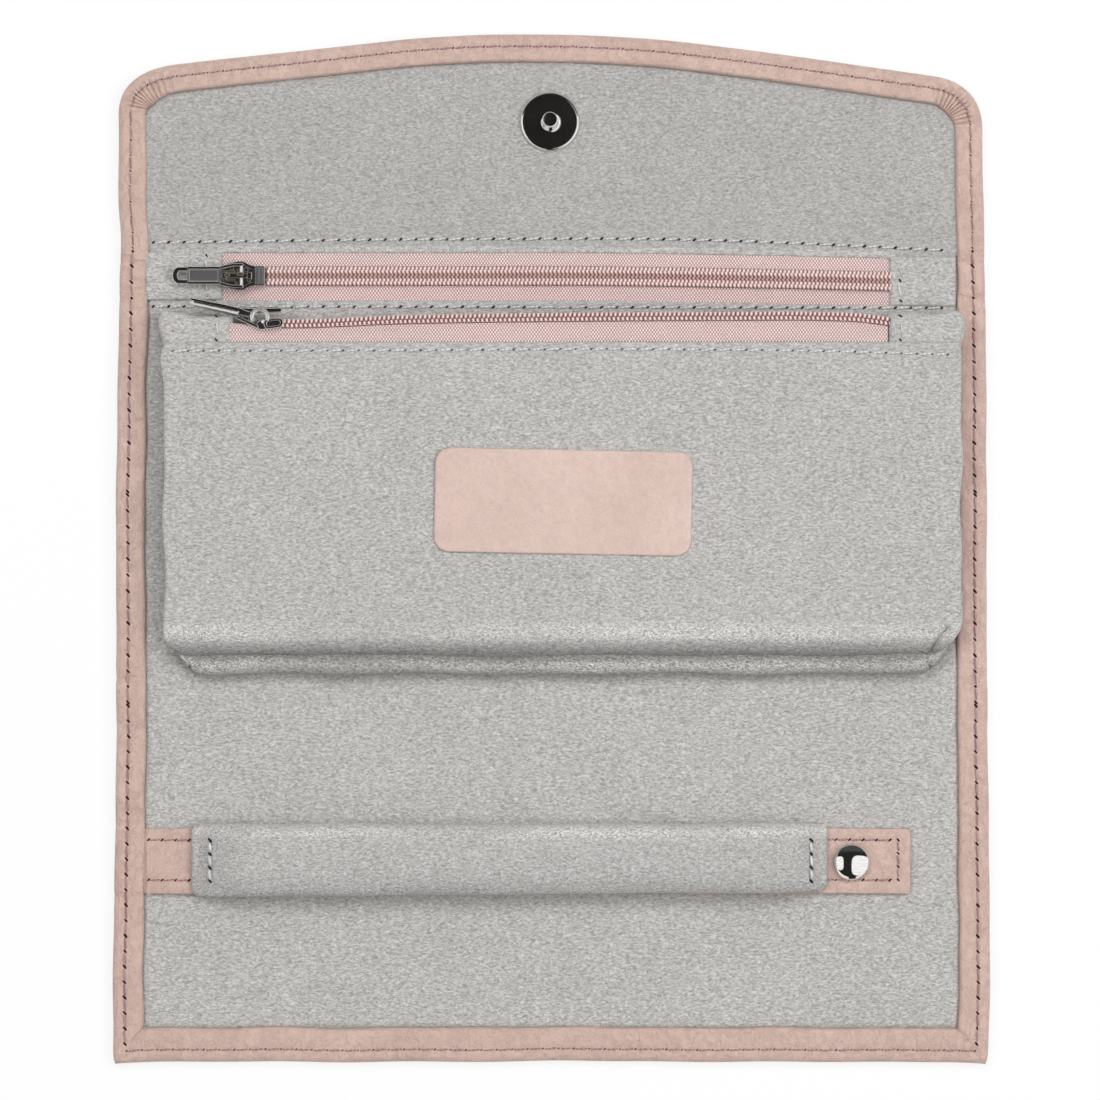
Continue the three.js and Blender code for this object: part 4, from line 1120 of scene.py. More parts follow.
def panel(shape, box, radii, levels, height, reshape, n=8, step=2.0):
    """Rings inward from the outline: levels are (distance, height), height(x, y) is added to each
    point, and reshape moves each ring's points in the plane."""
    x0, x1, y0, y1 = box
    counts = [max(2, int((x1 - x0) / step)), 2 * max(1, int((y1 - y0) / step / 2))]
    rings = []
    for d, z in levels:
        q = ring_points((x0 + d, x1 - d, y0 + d, y1 - d), [inner_radius(r, d) for r in radii], counts, n)
        q = reshape(q)
        rings.append(np.concatenate([q, (z + height(q[:, 0], q[:, 1]))[:, None]], 1))
    base = shape.grid(np.stack(rings), wrap=True)
    count = len(rings[0])
    last = base + (len(levels) - 1) * count
    left = count - counts[1] // 2
    low = [last + (left + k) % count for k in range(count // 2 + 1)]
    top = [last + (left - k) % count for k in range(count // 2 + 1)]
    side, half = counts[1] // 2, count // 2
    shape.face([*low[side::-1], *top[1 : side + 2], low[side + 1]])
    for k in range(side + 1, half - side - 1):
        shape.face([low[k], low[k + 1], top[k + 1], top[k]])
    shape.face([*low[half - side - 1 :], *top[half - 1 : half - side - 2 : -1]])


# The pouch front

POUCH = (-90.3, 96.2, -25.0, 48.3)
POUCH_CORNERS = (6.0, 9.0)
PRESSED = (47.0, 38.0)  # from here on down the closed roll presses the pouch's front


def pouch_bulge(p):
    q = p.copy()
    x, y = p[:, 0], p[:, 1]
    low = y < 30
    q[:, 0] += np.where((x < -80) & low, wobble(y, 71, 37, 0.35), 0)
    q[:, 0] += np.where((x > 86) & low, wobble(y, 72, 31, 0.35), 0)
    q[:, 0] -= np.where(x < -80, 0.9 * np.exp(-(((y - 44) / 3.5) ** 2)), 0)
    q[:, 1] += np.where(y < -20, wobble(x, 73, 66, 0.4) - 0.3 * np.exp(-((x / 60) ** 2)), 0)
    return q


def pouch_height(x, y):
    z = wobble(x + 0.6 * y, 74, 70, 0.16) + wobble(y - 0.3 * x, 75, 40, 0.14)
    z = z - 0.12 * np.exp(-(((y - 46.3) / 0.5) ** 2)) + 0.3 * np.exp(-(((y + 15.5) / 3.5) ** 2))
    tuck = np.array([(92.9, -18.6), (91.2, -20.6), (89.7, -22.9), (88.9, -24.6)])
    far = np.full(np.shape(x), 9.0)
    for a, b in zip(tuck, tuck[1:]):
        t = np.clip(((x - a[0]) * (b[0] - a[0]) + (y - a[1]) * (b[1] - a[1])) / ((b - a) ** 2).sum(), 0, 1)
        far = np.minimum(far, np.hypot(x - a[0] - t * (b[0] - a[0]), y - a[1] - t * (b[1] - a[1])))
    return z - pouch_drop(y) - 1.5 * np.exp(-((far / 0.42) ** 2)) + 0.35 * np.exp(-(((far - 1.3) / 0.7) ** 2))


def pouch_drop(y):
    """How far the pouch's lower edge has rolled down."""
    return 3.4 * np.clip((-16.0 - y) / 9.0, 0, 1.05) ** 2.8


s = Shape()
levels = [
    (1.4, 9.5),
    (0.7, 9.45),
    (0.2, 9.6),
    (0.0, 9.9),
    (0.05, 10.2),
    (0.3, 10.48),
    (0.8, 10.62),
    (1.4, 10.62),
    (1.9, 10.58),
    (2.3, 10.56),
    (2.7, 10.54),
    (3.1, 10.52),
    (3.6, 10.5),
    (4.5, 10.5),
    (7, 10.48),
    (10, 10.5),
    (13.5, 10.5),
    (17.5, 10.52),
    (22, 10.53),
    (27, 10.54),
    (31, 10.55),
    (34.5, 10.55),
]
panel(s, POUCH, (*POUCH_CORNERS, 2.2, 2.2), levels, pouch_height, pouch_bulge, n=22, step=1.6)
pouch_front = s.done("pouch_front_sheet", POUCH_GREY)
bent(pouch_front, "back", "pouch_front", *PRESSED)
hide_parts("pouch_front_panel", "pouch_hem_band")
s = Shape()
x = np.arange(-88.6, 95.0, 2.0)
y = through([(-90, 46.2), (-40, 46.3), (20, 46.6), (70, 46.0), (96, 45.2)])(x)
stitches(s, np.stack([x, y, 10.56 + pouch_height(x, y)], -1), radius=0.22, slant=0.2, bore=0.6)
hem_stitches = s.done("pouch_hem_stitches", LIGHT_THREAD, HOLE)
bent(hem_stitches, "back", "pouch_front", *PRESSED)


# The bellows round the pouch

def gusset_paths():
    """The panel's edge and the bellows' lower ridge, point by point from the upper left round to
    the upper right."""
    top = POUCH[3] - 3.5
    left, right, low = POUCH[0], POUCH[1], POUCH[2]
    rl, rr = POUCH_CORNERS
    up = np.linspace(0, 1, 40)[:, None]
    turn = np.linspace(0, 1, 26)[1:, None]
    along = np.r_[0.004, 0.008, np.linspace(0.014, 0.986, 110), 0.992, 0.996, 1][:, None]
    a = turn * math.pi / 2
    arc_l = np.concatenate([left + rl - rl * np.cos(a), low + rl - rl * np.sin(a)], 1)
    arc_r = np.concatenate([right - rr + rr * np.sin(a), low + rr - rr * np.cos(a)], 1)
    edge = [
        np.array([left, top]) * (1 - up) + np.array([left, low + rl]) * up,
        arc_l,
        np.array([left + rl, low]) * (1 - along) + np.array([right - rr, low]) * along,
        arc_r,
        (np.array([right, low + rr]) * (1 - up) + np.array([right, top]) * up)[1:],
    ]
    edge = pouch_bulge(np.concatenate(edge))
    bends = [(left + 1.1, top), (left + 0.9, -19.2), (-84.4, -28.3), (89.3, -28.2), (right + 0.1, -17.6)]
    bends = np.array([*bends, (right - 1.1, top)])
    ridge = [a * (1 - u) + b * u for a, b, u in zip(bends, bends[1:], (up, turn, along, turn, up))]
    ridge[-1] = ridge[-1][1:]
    first = len(up) + len(turn)
    last = first + len(along)
    ridge = np.concatenate(ridge)
    x = ridge[first:last, 0]
    t = (x - bends[2, 0]) / (bends[3, 0] - bends[2, 0])
    ridge[first:last, 1] += (-0.9 + wobble(x, 83, 52, 0.35)) * np.sqrt(np.clip(np.sin(math.pi * t) * 14, 0, 1))
    far = walked(ridge)
    tuck = sum(np.exp(-(((far - far[i]) / 0.5) ** 2)) for i in (first - 1, last - 1))
    return edge, ridge, far, tuck


edge, ridge, far, tuck = gusset_paths()
out = beside(np.gradient(edge, axis=0))
# (share of the way from the panel's edge to the ridge, extra distance outward, height)
section = [
    (0, -3.2, 9.42),
    (0, -1.6, 9.38),
    (0, -0.75, 9.2),
    (0, -0.5, 8.8),
    (0, -0.75, 8.2),
    (0, -0.8, 7.7),
    (0.06, -0.5, 7.5),
    (0.2, -0.1, 7.85),
    (0.38, 0, 8.2),
    (0.56, 0, 8.25),
    (0.74, 0, 7.95),
    (0.87, 0, 7.4),
    (0.96, 0, 6.7),
    (1.0, 0, 5.9),
    (0.99, 0, 5.2),
    (0.9, 0, 4.6),
    (0.7, 0, 4.1),
    (0.45, 0, 3.7),
    (0.25, -0.3, 3.3),
    (0.1, -0.6, 2.95),
    (0, -1.2, 2.65),
    (0, -2.2, 2.5),
]
g = []
for share, more, z in section:
    body = math.exp(-(((z - 7.0) / 1.9) ** 2))
    q = edge * (1 - share) + ridge * share + out * more
    q = q - out * (tuck * 1.3 * body)[:, None]
    lumps = wobble(far, 82, 44, 0.16) + wobble(far, 84, 13, 0.07)
    z = z - pouch_drop(edge[:, 1]) * np.clip((z - 4) / 5.4, 0, 1) * (0.45 if 0 < share else 1)
    g.append(np.concatenate([q, (z + lumps * body - tuck * 0.5 * body)[:, None]], 1))
s = Shape()
s.grid(np.stack(g, 1), np.stack(np.broadcast_arrays(far[:, None], np.arange(len(section))[None] * 1.0), -1))
gusset = s.done("pouch_bellows", BELLOWS_GREY)
solid = gusset.modifiers.new("thickness", "SOLIDIFY")
solid.thickness = 0.0004
solid.offset = -1
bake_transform(gusset)
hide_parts("pouch_gusset")


# The label, left bare

s = Shape()
turn = math.radians(-1.1)
spin = np.array([[math.cos(turn), -math.sin(turn)], [math.sin(turn), math.cos(turn)]])
levels = [(0.25, 10.5), (0.04, 10.62), (0.0, 10.85), (0.06, 11.1), (0.25, 11.24), (0.6, 11.3), (1.2, 11.3)]
levels += [(2.4, 11.27), (4.5, 11.25), (7, 11.25), (10, 11.25)]
panel(
    s,
    (-30.1, 30.1, -12.2, 12.2),
    (3.6,) * 4,
    levels,
    lambda x, y: wobble(x, 91, 40, 0.05) + wobble(y, 92, 20, 0.03),
    lambda q: q @ spin.T + np.array([3.1, 10.9]),
)
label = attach(s.done("label_patch_leather", LABEL), "pouch_front")
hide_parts("label_patch")


# The ring bar: strap, stuffed roll and press stud

STRAP = (-95.6, 84.7, -81.0, -65.7)


def strap_wave(x):
    return wobble(x, 95, 70, 0.12)


def strap_piece(name, x1, z0, z1, inset):
    s = Shape()
    levels = [(0.6, z0), (0.12, z0 + 0.06), (0.0, (z0 + z1) / 2), (0.05, z1 - 0.14), (0.2, z1 - 0.03), (0.6, z1)]
    levels += [(1.9, z1), (2.4, z1 - 0.04), (2.75, z1 - 0.1), (3.1, z1 - 0.04), (4.2, z1), (6.0, z1)]
    box = (STRAP[0], x1, STRAP[2] + inset, STRAP[3] - inset)
    panel(
        s,
        box,
        (0.3, 0.7, 0.7, 0.3),
        levels,
        lambda x, y: wobble(x, 96, 33, 0.05) - 0.8 * np.clip((-93.9 - x) / 1.4, 0, 1.2) ** 1.5,
        lambda q: q + np.stack([0 * q[:, 0], strap_wave(q[:, 0])], -1),
        n=4,
        step=1.8,
    )
    return s.done(name, PINK)


strap_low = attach(strap_piece("ring_strap_under", STRAP[1], 2.5, 3.22, 0.1), "ring_bar")
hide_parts("ring_strap_lower")
strap_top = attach(strap_piece("ring_strap_over", STRAP[1] - 0.08, 3.2, 3.95, 0.0), "ring_bar")
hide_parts("ring_strap_upper")
s = Shape()
STRAP_ROWS = (-68.35, -77.75)
for y in STRAP_ROWS:
    x = np.arange(-94.2, 81.8, 2.0)
    line = np.stack([x, y + strap_wave(x), np.full_like(x, 3.86)], -1)
    stitches(s, line, pitch=3.15, length=2.35, radius=0.17, start=0, bore=0.85)
y = np.arange(STRAP_ROWS[1], -68.0, 0.78)
line = np.stack([np.full_like(y, 81.7), y, np.full_like(y, 3.88)], -1)
stitches(s, line, pitch=3.0, length=2.2, radius=0.17, start=0, bore=0.85)
strap_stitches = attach(s.done("ring_strap_stitches", MAUVE, HOLE), "ring_bar")

PAD = (-84.3, 65.5)
STRAP_TOP = 0.00396
ROLL_TOP = 0.0129


def pad_mesh():
    """The roll before it is stuffed: a boxy tube with flat, sewn ends and chamfered corners."""
    n = 96
    t = np.linspace(0, 1, n)
    x = PAD[0] + (PAD[1] - PAD[0]) * (0.5 - 0.5 * np.cos(np.pi * t))
    along = (x - PAD[0]) / (PAD[1] - PAD[0])
    end = np.minimum(x - PAD[0], PAD[1] - x)
    wide = 8.75 - 0.6 * along - 1.1 * (1 - np.clip(end / 1.2, 0, 1)) + wobble(x, 121, 52, 0.1)
    high = 1.0 + 2.85 * np.clip((end - 2.6) / 10, 0, 1) ** 0.75
    mid_z = 3.97 + high
    mid_y = -73.1 + 0.75 * along + wobble(x, 122, 80, 0.08)
    a = (np.arange(32) + 0.5) * 2 * math.pi / 32
    ca, sa = np.cos(a), np.sin(a)
    y = mid_y[:, None] + wide[:, None] * np.sign(ca) * np.abs(ca) ** 0.62
    z = mid_z[:, None] + high[:, None] * np.where(sa > 0, np.abs(sa) ** 0.72, -(np.abs(sa) ** 0.45))
    s = Shape()
    s.caps(s.grid(np.stack([np.broadcast_to(x[:, None], y.shape), y, z], -1), wrap=True), n, len(a))
    return s.done("ring_roll", ROLL_GREY)


def stuffed(o, voxel, cap, pressure, frames=20):
    """Fills a closed cloth with pressure, keeps each point within cap of where it began, and applies it."""
    m = o.modifiers.new("remesh", "REMESH")
    m.mode = "VOXEL"
    m.voxel_size = voxel
    dg = bpy.context.evaluated_depsgraph_get()
    mesh = bpy.data.meshes.new_from_object(o.evaluated_get(dg))
    o.modifiers.clear()
    o.data = mesh
    start = np.zeros(len(mesh.vertices) * 3)
    mesh.vertices.foreach_get("co", start)
    start = start.reshape(-1, 3)
    cloth = o.modifiers.new("cloth", "CLOTH")
    c = cloth.settings
    c.use_pressure = True
    c.uniform_pressure_force = pressure
    c.mass = 0.15
    c.tension_stiffness = 60
    c.compression_stiffness = 20
    c.bending_stiffness = 0.6
    c.effector_weights.gravity = 0
    cloth.collision_settings.use_self_collision = False
    cloth.point_cache.frame_start = 1
    cloth.point_cache.frame_end = frames
    for f in range(1, frames + 1):
        bpy.context.scene.frame_set(f)
    dg = bpy.context.evaluated_depsgraph_get()
    e = o.evaluated_get(dg)
    co = np.zeros(len(e.data.vertices) * 3)
    e.data.vertices.foreach_get("co", co)
    co = co.reshape(-1, 3)
    o.modifiers.clear()
    bpy.context.scene.frame_set(1)
    move = co - start
    far = np.linalg.norm(move, axis=1)
    move *= (np.minimum(far, cap) / np.maximum(far, 1e-9))[:, None]
    return start + move


roll = pad_mesh()
co = stuffed(roll, voxel=0.0012, cap=0.0006, pressure=3.0)
co[:, 2] = np.clip(co[:, 2], STRAP_TOP, ROLL_TOP)
roll.data.vertices.foreach_set("co", co.astype(np.float32).ravel())
sub = roll.modifiers.new("smooth", "SUBSURF")
sub.levels = sub.render_levels = 1
dg = bpy.context.evaluated_depsgraph_get()
roll.data = bpy.data.meshes.new_from_object(roll.evaluated_get(dg))
roll.modifiers.clear()
roll.data.polygons.foreach_set("use_smooth", [True] * len(roll.data.polygons))
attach(roll, "ring_bar")
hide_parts("ring_pad")


# Round metal parts, turned from a profile of (radius, height)

def ring(x, y, r, z, n):
    a = np.arange(n) * 2 * math.pi / n
    return np.stack([x + r * np.cos(a), y + r * np.sin(a), np.full(n, z)], -1)


s = Shape()
profile = [(3.9, 3.9), (4.2, 3.95), (4.32, 4.15), (4.34, 4.5)]
profile += [(4.33 * math.cos(t), 4.75 + 1.95 * math.sin(t)) for t in np.linspace(0.02, 1.5, 22)]
rings = np.stack([ring(70.7, -73.55, r, z, 72) for r, z in profile])
s.caps(s.grid(rings, wrap=True), len(profile), 72)
cap = s.done("snap_cap_dome", BRIGHT, flat_above=50)
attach(cap, "ring_bar")
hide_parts("snap_cap")

DISC_Y = 100.25
# (radius, height, shift up the roll), by the metal of each zone: black nickel on the flats, and bright nickel and the
# pale rim finish on the rims, the nub's wall and a thin ring round its top, lighter metal as painted highlight where
# the disc shows its highlights
DISC_ZONES = [
    (1, [(6.9, 2.4, 0), (7.0, 2.55, 0), (7.0, 2.75, 0), (6.93, 2.95, 0), (6.5, 3.3, 0)]),
    (0, [(6.5, 3.3, 0), (6.42, 3.34, 0), (6.3, 3.34, 0), (5.9, 3.34, 0), (2.7, 3.34, -0.1), (2.3, 3.34, -0.12)]),
    (1, [(2.3, 3.34, -0.12), (2.12, 3.37, -0.15), (2.08, 3.44, -0.15), (1.8, 4.28, 0.4)]),
    (2, [(1.8, 4.28, 0.4), (1.78, 4.36, 0.43), (1.7, 4.39, 0.46), (1.62, 4.39, 0.48)]),
    (0, [(1.62, 4.39, 0.48), (1.5, 4.385, 0.48), (1.3, 4.38, 0.48), (0.3, 4.38, 0.48)]),
]
s = Shape()
for kind, zone in DISC_ZONES:
    base = s.grid(np.stack([ring(0, DISC_Y + up, r, z, 96) for r, z, up in zone]), wrap=True, kind=kind)
s.face([base + (len(zone) - 1) * 96 + j for j in range(96)])
disc = s.done("magnet_male_disc", BLACK, BRIGHT, RIM, outward=False)
welded(disc, 0.000005)
if sum(p.normal.z * p.area for p in disc.data.polygons) < 0:
    disc.data.flip_normals()
disc.data.set_sharp_from_angle(angle=math.radians(38))
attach(disc, "flap")
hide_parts("magnet_male")


# Zips

def coil(shape, x0, x1, centre, tall, wide, drift, pitch=1.02, wire=0.27):
    """A nylon coil along X, its loops upright."""
    a = np.arange(int((x1 - x0) / pitch * 12) + 1) * math.pi / 6
    cos, sin = np.cos(a + math.pi), np.sin(a + math.pi)
    x = x0 + pitch * (a / (2 * math.pi)) + 0.16 * sin
    y = centre[0] + wide * sin + drift(x)
    z = centre[1] + tall * np.sign(cos) * np.abs(cos) ** 0.7
    shape.tube(np.stack([x, y, z], -1), wire, sides=6)


def tape(name, x0, x1, lines, body, drift):
    """A woven strip along X through (y, z) lines; the first one doesn't drift."""
    x = np.arange(x0, x1 + 1.0, 2.0)
    g = []
    for k, (y, z) in enumerate(tape_ribs(lines)):
        yy = np.full_like(x, y) + (drift(x) if k > 0 else 0)
        g.append(np.stack([x, yy, z + wobble(x, 101 + k, 17, 0.05)], -1))
    s = Shape()
    s.grid(np.stack(g, 1))
    o = s.done(name, TAPE, outward=False)
    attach(o, body)
    return o


def tape_ribs(lines):
    """Three more lines between each two given ones, so that a strip stays smooth."""
    out = []
    for (y0, z0), (y1, z1) in zip(lines, lines[1:]):
        out += [(y0 + (y1 - y0) * i / 4, z0 + (z1 - z0) * i / 4) for i in range(4)]
    return out + [lines[-1]]


def straight(x):
    return 0 * x


def rope(
    shape, span, y, z, radius, drift, depth, pitch=0.96, flat=0.85, lean=1.0, kind=0, step=0.6, sides=6, shift=0.0
):
    """A twisted cord along X, its strands as slanted ridges."""
    x = np.arange(*span, step)
    a = np.arange(sides) * 2 * math.pi / sides
    wave = 0.5 + 0.5 * np.cos(2 * math.pi * (x[:, None] / pitch + shift) - lean * a[None])
    r = radius * (1 - depth + 2 * depth * wave**0.7)
    yy = y + drift(x)
    rings = np.stack([np.broadcast_to(x[:, None], r.shape), yy[:, None] + r * np.cos(a), z + r * flat * np.sin(a)], -1)
    # the first texture coordinate carries the strand's height, which the bead materials turn into painted shade and
    # painted highlight
    uv = np.stack([wave / MM, np.broadcast_to(x[:, None], wave.shape)], -1)
    base = shape.grid(rings, np.broadcast_to(uv, rings.shape[:2] + (2,)), wrap=True, kind=kind)
    shape.caps(base, len(x), sides, kind)


lines = [(57.0, 2.0), (58.6, 2.12), (61.6, 2.3), (62.4, 2.42), (63.4, 2.4)]
lower_tape = tape("zip1_tape_lower_woven", -77.4, 80.5, lines, "top_spine", askew)
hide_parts("zip1_tape_lower")
lines = [(64.4, 2.4), (65.6, 2.42), (66.4, 2.3), (69.2, 2.12), (70.6, 2.0)]
upper_tape = tape("zip1_tape_upper_woven", -77.4, 80.5, lines, "top_spine", askew)
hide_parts("zip1_tape_upper")

CHAIN_1 = (-66.6, 80.2)
ROPE_1 = {"depth": 0.24, "flat": 1.25, "step": 0.12, "sides": 12}
s = Shape()
# the middle row (kind 1) takes the darker bead colours, painted shade for its recess
for y, wide, z, kind in ((62.62, 0.35, 3.14, 0), (65.34, 0.35, 3.14, 0), (63.98, 0.3, 2.78, 1)):
    for sign, shift in ((-1, 0.0), (1, 0.5)):
        twist = {"lean": -0.4 * sign, "kind": kind, "shift": shift}
        rope(s, CHAIN_1, y + sign * wide, z, wide + 0.06, askew, **ROPE_1, **twist)
# dark lines at the chain's outer edges and between its rows: painted shade
for y, z in ((61.86, 2.62), (66.1, 2.62), (63.3, 2.98), (64.66, 2.98)):
    rope(s, CHAIN_1, y, z, 0.13, askew, 0.1, kind=2)
chain_1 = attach(s.done("zip1_coil", CORD, MIDDLE, CHAIN_SHADE), "top_spine")
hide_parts("zip1_chain")

DRIFT_2 = through([(-80, -0.35), (-62, -1.2), (-35, -0.3), (0, 0.25), (40, 0.5), (63, 0.5), (72, 0.2), (80, -0.8)])
lines = [(47.4, 9.3), (48.4, 9.42), (51.2, 9.5), (52.3, 9.7), (52.9, 9.85), (53.4, 9.3)]
front_tape = tape("zip2_tape_front_woven", -75.0, 79.7, lines, "pouch_rim", DRIFT_2)
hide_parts("zip2_tape_front")
lines = [(52.35, 2.75), (52.4, 4.2), (52.5, 6.6), (52.9, 7.9)]
back_tape = tape("zip2_tape_back_woven", -75.5, 80.5, lines, "pouch_rim", straight)
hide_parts("zip2_tape_back")
s = Shape()
CHAIN_2 = (-62.8, 79.6)
ROPE_2 = {"depth": 0.26, "flat": 1.1, "step": 0.132, "sides": 12, "pitch": 1.06, "kind": 2}
for y, lean, shift in ((53.32, 0.3, 0.0), (54.34, -0.3, 0.5)):
    rope(s, CHAIN_2, y, 9.6, 0.42, DRIFT_2, lean=lean, shift=shift, **ROPE_2)
# a dark line along the chain's lower edge and one between its rows: painted shade
for y, z, radius in ((52.8, 9.86, 0.13), (53.83, 9.66, 0.15)):
    rope(s, CHAIN_2, y, z, radius, DRIFT_2, 0.1, kind=1)
coil(s, CHAIN_2[0], 79.4, (53.7, 7.9), 0.8, 0.55, DRIFT_2)
chain_2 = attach(s.done("zip2_coil", COIL, CHAIN_SHADE, TEETH), "pouch_rim")
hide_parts("zip2_chain")


def lofted(shape, loops, kind=0):
    """A closed body through loops of points, each with the same number, capped at both ends."""
    shape.caps(shape.grid(np.stack(loops), wrap=True, kind=kind), len(loops), len(loops[0]), kind)


def slab(shape, outline, z0, z1, kind=0, lean=0.0):
    """An outline given height; lean moves its top up the roll."""
    q = np.asarray(outline, float)
    lofted(shape, [np.c_[q[:, 0], q[:, 1] + lean * u, np.full(len(q), z)] for z, u in ((z0, 0), (z1, 1))], kind)


def framed(shape, outer, inner, z0, z1, kind=0):
    """A flat frame between two outlines with as many points each."""
    a, b = np.asarray(outer, float), np.asarray(inner, float)
    loop = lambda q, z: np.c_[q, np.full(len(q), z)]
    shape.grid(np.stack([loop(a, z0), loop(a, z1), loop(b, z1), loop(b, z0), loop(a, z0)]), wrap=True, kind=kind)


def mirrored(half, y):
    """A closed outline from its (x, half width) points, left to right."""
    low = [(x, y - h) for x, h in half]
    return low + [(x, y + h) for x, h in half[::-1]]


def bevelled(o, width=0.2, angle=32):
    """Bevels a metal piece's edges; the bevels take its last material, the worn rim, which is partly painted
    highlight: pale and half diffuse so that the edges catch the lamps.
    """
    o.data.materials.append(RIM)
    m = o.modifiers.new("edge", "BEVEL")
    m.material = len(o.data.materials) - 1
    m.width = width * MM
    m.segments = 1
    m.limit_method = "ANGLE"
    m.angle_limit = math.radians(angle)
    return o


ZIP1_Y = 64
wings = [(-77.0, 2.3), (-75.2, 2.95), (-73.2, 3.35), (-72.2, 3.4), (-71.3, 3.0), (-70.4, 2.5), (-69.5, 2.3)]
wings += [(-66.9, 2.3)]
s = Shape()
slab(s, mirrored(wings, ZIP1_Y), 1.1, 1.7)
slab(s, mirrored([(-76.6, 0.55), (-74.2, 0.55)], ZIP1_Y), 1.7, 3.95)
slab(s, mirrored(wings, ZIP1_Y), 3.95, 4.4)
for sign in (1, -1):
    flange = [*wings[1:], *[(x, h - 0.28) for x, h in wings[:0:-1]]]
    slab(s, [(x, ZIP1_Y + sign * h) for x, h in flange][::sign], 2.95, 3.96)
inner = [(-76.5, 1.6), (-75.0, 2.2), (-73.3, 2.55), (-72.3, 2.6), (-71.5, 2.3), (-70.8, 1.9), (-70.2, 1.6)]
inner += [(-69.7, 1.5)]
outer = wings[:-1] + [(-69.2, 2.3)]
framed(s, mirrored(outer, ZIP1_Y), mirrored(inner, ZIP1_Y), 4.38, 4.75)
slab(s, mirrored([(-69.3, 2.2), (-67.0, 2.2)], ZIP1_Y), 4.38, 4.62)
for x0, x1 in ((-76.9, -75.9), (-71.0, -70.0)):
    slab(s, mirrored([(x0, 0.8), (x1, 0.8)], ZIP1_Y), 4.3, 6.1)
slab(s, mirrored([(-76.9, 0.5), (-76.2, 0.55), (-70.8, 0.55), (-70.0, 0.5)], ZIP1_Y), 5.75, 6.05)
# (left, right, half width, centre line, lowest and highest point, finish)
SMALL_BARS = [
    (-76.3, -75.1, 0.3, 64.05, 6.0, 6.15, 1),
    (-73.3, -71.9, 0.42, 64.35, 6.0, 6.15, 1),
    (-69.1, -68.25, 1.9, ZIP1_Y, 4.6, 4.7, 2),
    (-68.1, -67.25, 1.9, ZIP1_Y, 4.6, 4.7, 2),
    (-76.1, -73.9, 0.25, 64.95, 4.4, 4.75, 1),
    (-76.1, -73.9, 0.22, 62.95, 4.4, 4.7, 1),
    (-73.4, -71.9, 0.5, 65.1, 4.4, 4.7, 1),
]
for x0, x1, half, y, z0, z1, kind in SMALL_BARS:
    slab(s, mirrored([(x0, half), (x1, half)], y), z0, z1, kind)
for x, y, r in ((-74.6, 65.7, 0.42), (-71.3, 65.4, 0.5), (-70.7, 62.9, 0.4), (-73.6, 62.3, 0.3)):
    slab(s, ring(x, y, r, 0, 10)[:, :2], 4.4, 4.9)
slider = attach(bevelled(s.done("zip1_slider_body", DARK, BRASS, STEEL, smooth=False), 0.13), "first_slider")
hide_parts("zip1_slider")


def pull_eye(x0, x1, x_hole, half, hole, y, n=8):
    """Outlines of a pull's eye: round at its free end, with a squarish hole."""
    a = np.linspace(math.pi * 1.5, math.pi * 0.5, 2 * n + 1)
    loops = []
    for left, right, wide, r, cut in ((x0, x1, half, 1.5, 0.82), (*x_hole, hole, 0.5, 0.6)):
        rise = [math.sin(t) * min(1, 1 / max(abs(math.sin(t)), cut)) for t in a]
        end = [(left + r + r * math.cos(t), y + wide * u) for t, u in zip(a, rise)]
        loops.append([(right, y - wide), *end, (right, y + wide)])
    return loops


s = Shape()
PULL_Y = 64.05
outer, inner = pull_eye(-88.55, -84.6, (-87.35, -85.1), 1.95, 1.0, PULL_Y)
framed(s, outer, inner, 4.95, 5.65)
slab(s, mirrored([(-85.0, 2.05), (-77.4, 2.05)], PULL_Y), 4.9, 5.35)
outer = mirrored([(-85.0, 2.1), (-81.0, 2.1), (-77.4, 2.1)], PULL_Y)
inner = mirrored([(-84.7, 1.4), (-81.0, 1.4), (-77.7, 1.4)], PULL_Y)
framed(s, outer, inner, 5.3, 5.8)
slab(s, mirrored([(-84.6, 1.35), (-77.8, 1.35)], PULL_Y), 5.3, 5.52, kind=1)
arm = [(-77.6, 1.35), (-77.6, 2.1), (-76.3, 2.5), (-74.5, 2.85), (-72.2, 2.95), (-71.8, 2.6), (-72.2, 2.2)]
arm += [(-74.6, 2.15), (-76.6, 1.7)]
for sign in (1, -1):
    slab(s, [(x, ZIP1_Y + sign * h) for x, h in arm][::-sign], 4.85, 5.7)
s.tube([(-72.4, y, 5.275) for y in (61.6, 63.1, 64.9, 66.4)], 0.38, sides=10)
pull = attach(bevelled(s.done("zip1_pull_tab", DARK, STEEL, smooth=False), 0.16), "first_pull")
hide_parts("zip1_pull")


def capsule(x0, x1, r, x, y, turn, n=8):
    """The outline of a bar with round ends, turned about (x, y)."""
    q = [(x0 + r * math.cos(t), r * math.sin(t)) for t in np.linspace(math.pi / 2, math.pi * 1.5, n)]
    q += [(x1 + r * math.cos(t), r * math.sin(t)) for t in np.linspace(-math.pi / 2, math.pi / 2, n)]
    cos, sin = math.cos(turn), math.sin(turn)
    return [(x + u * cos - v * sin, y + u * sin + v * cos) for u, v in q]


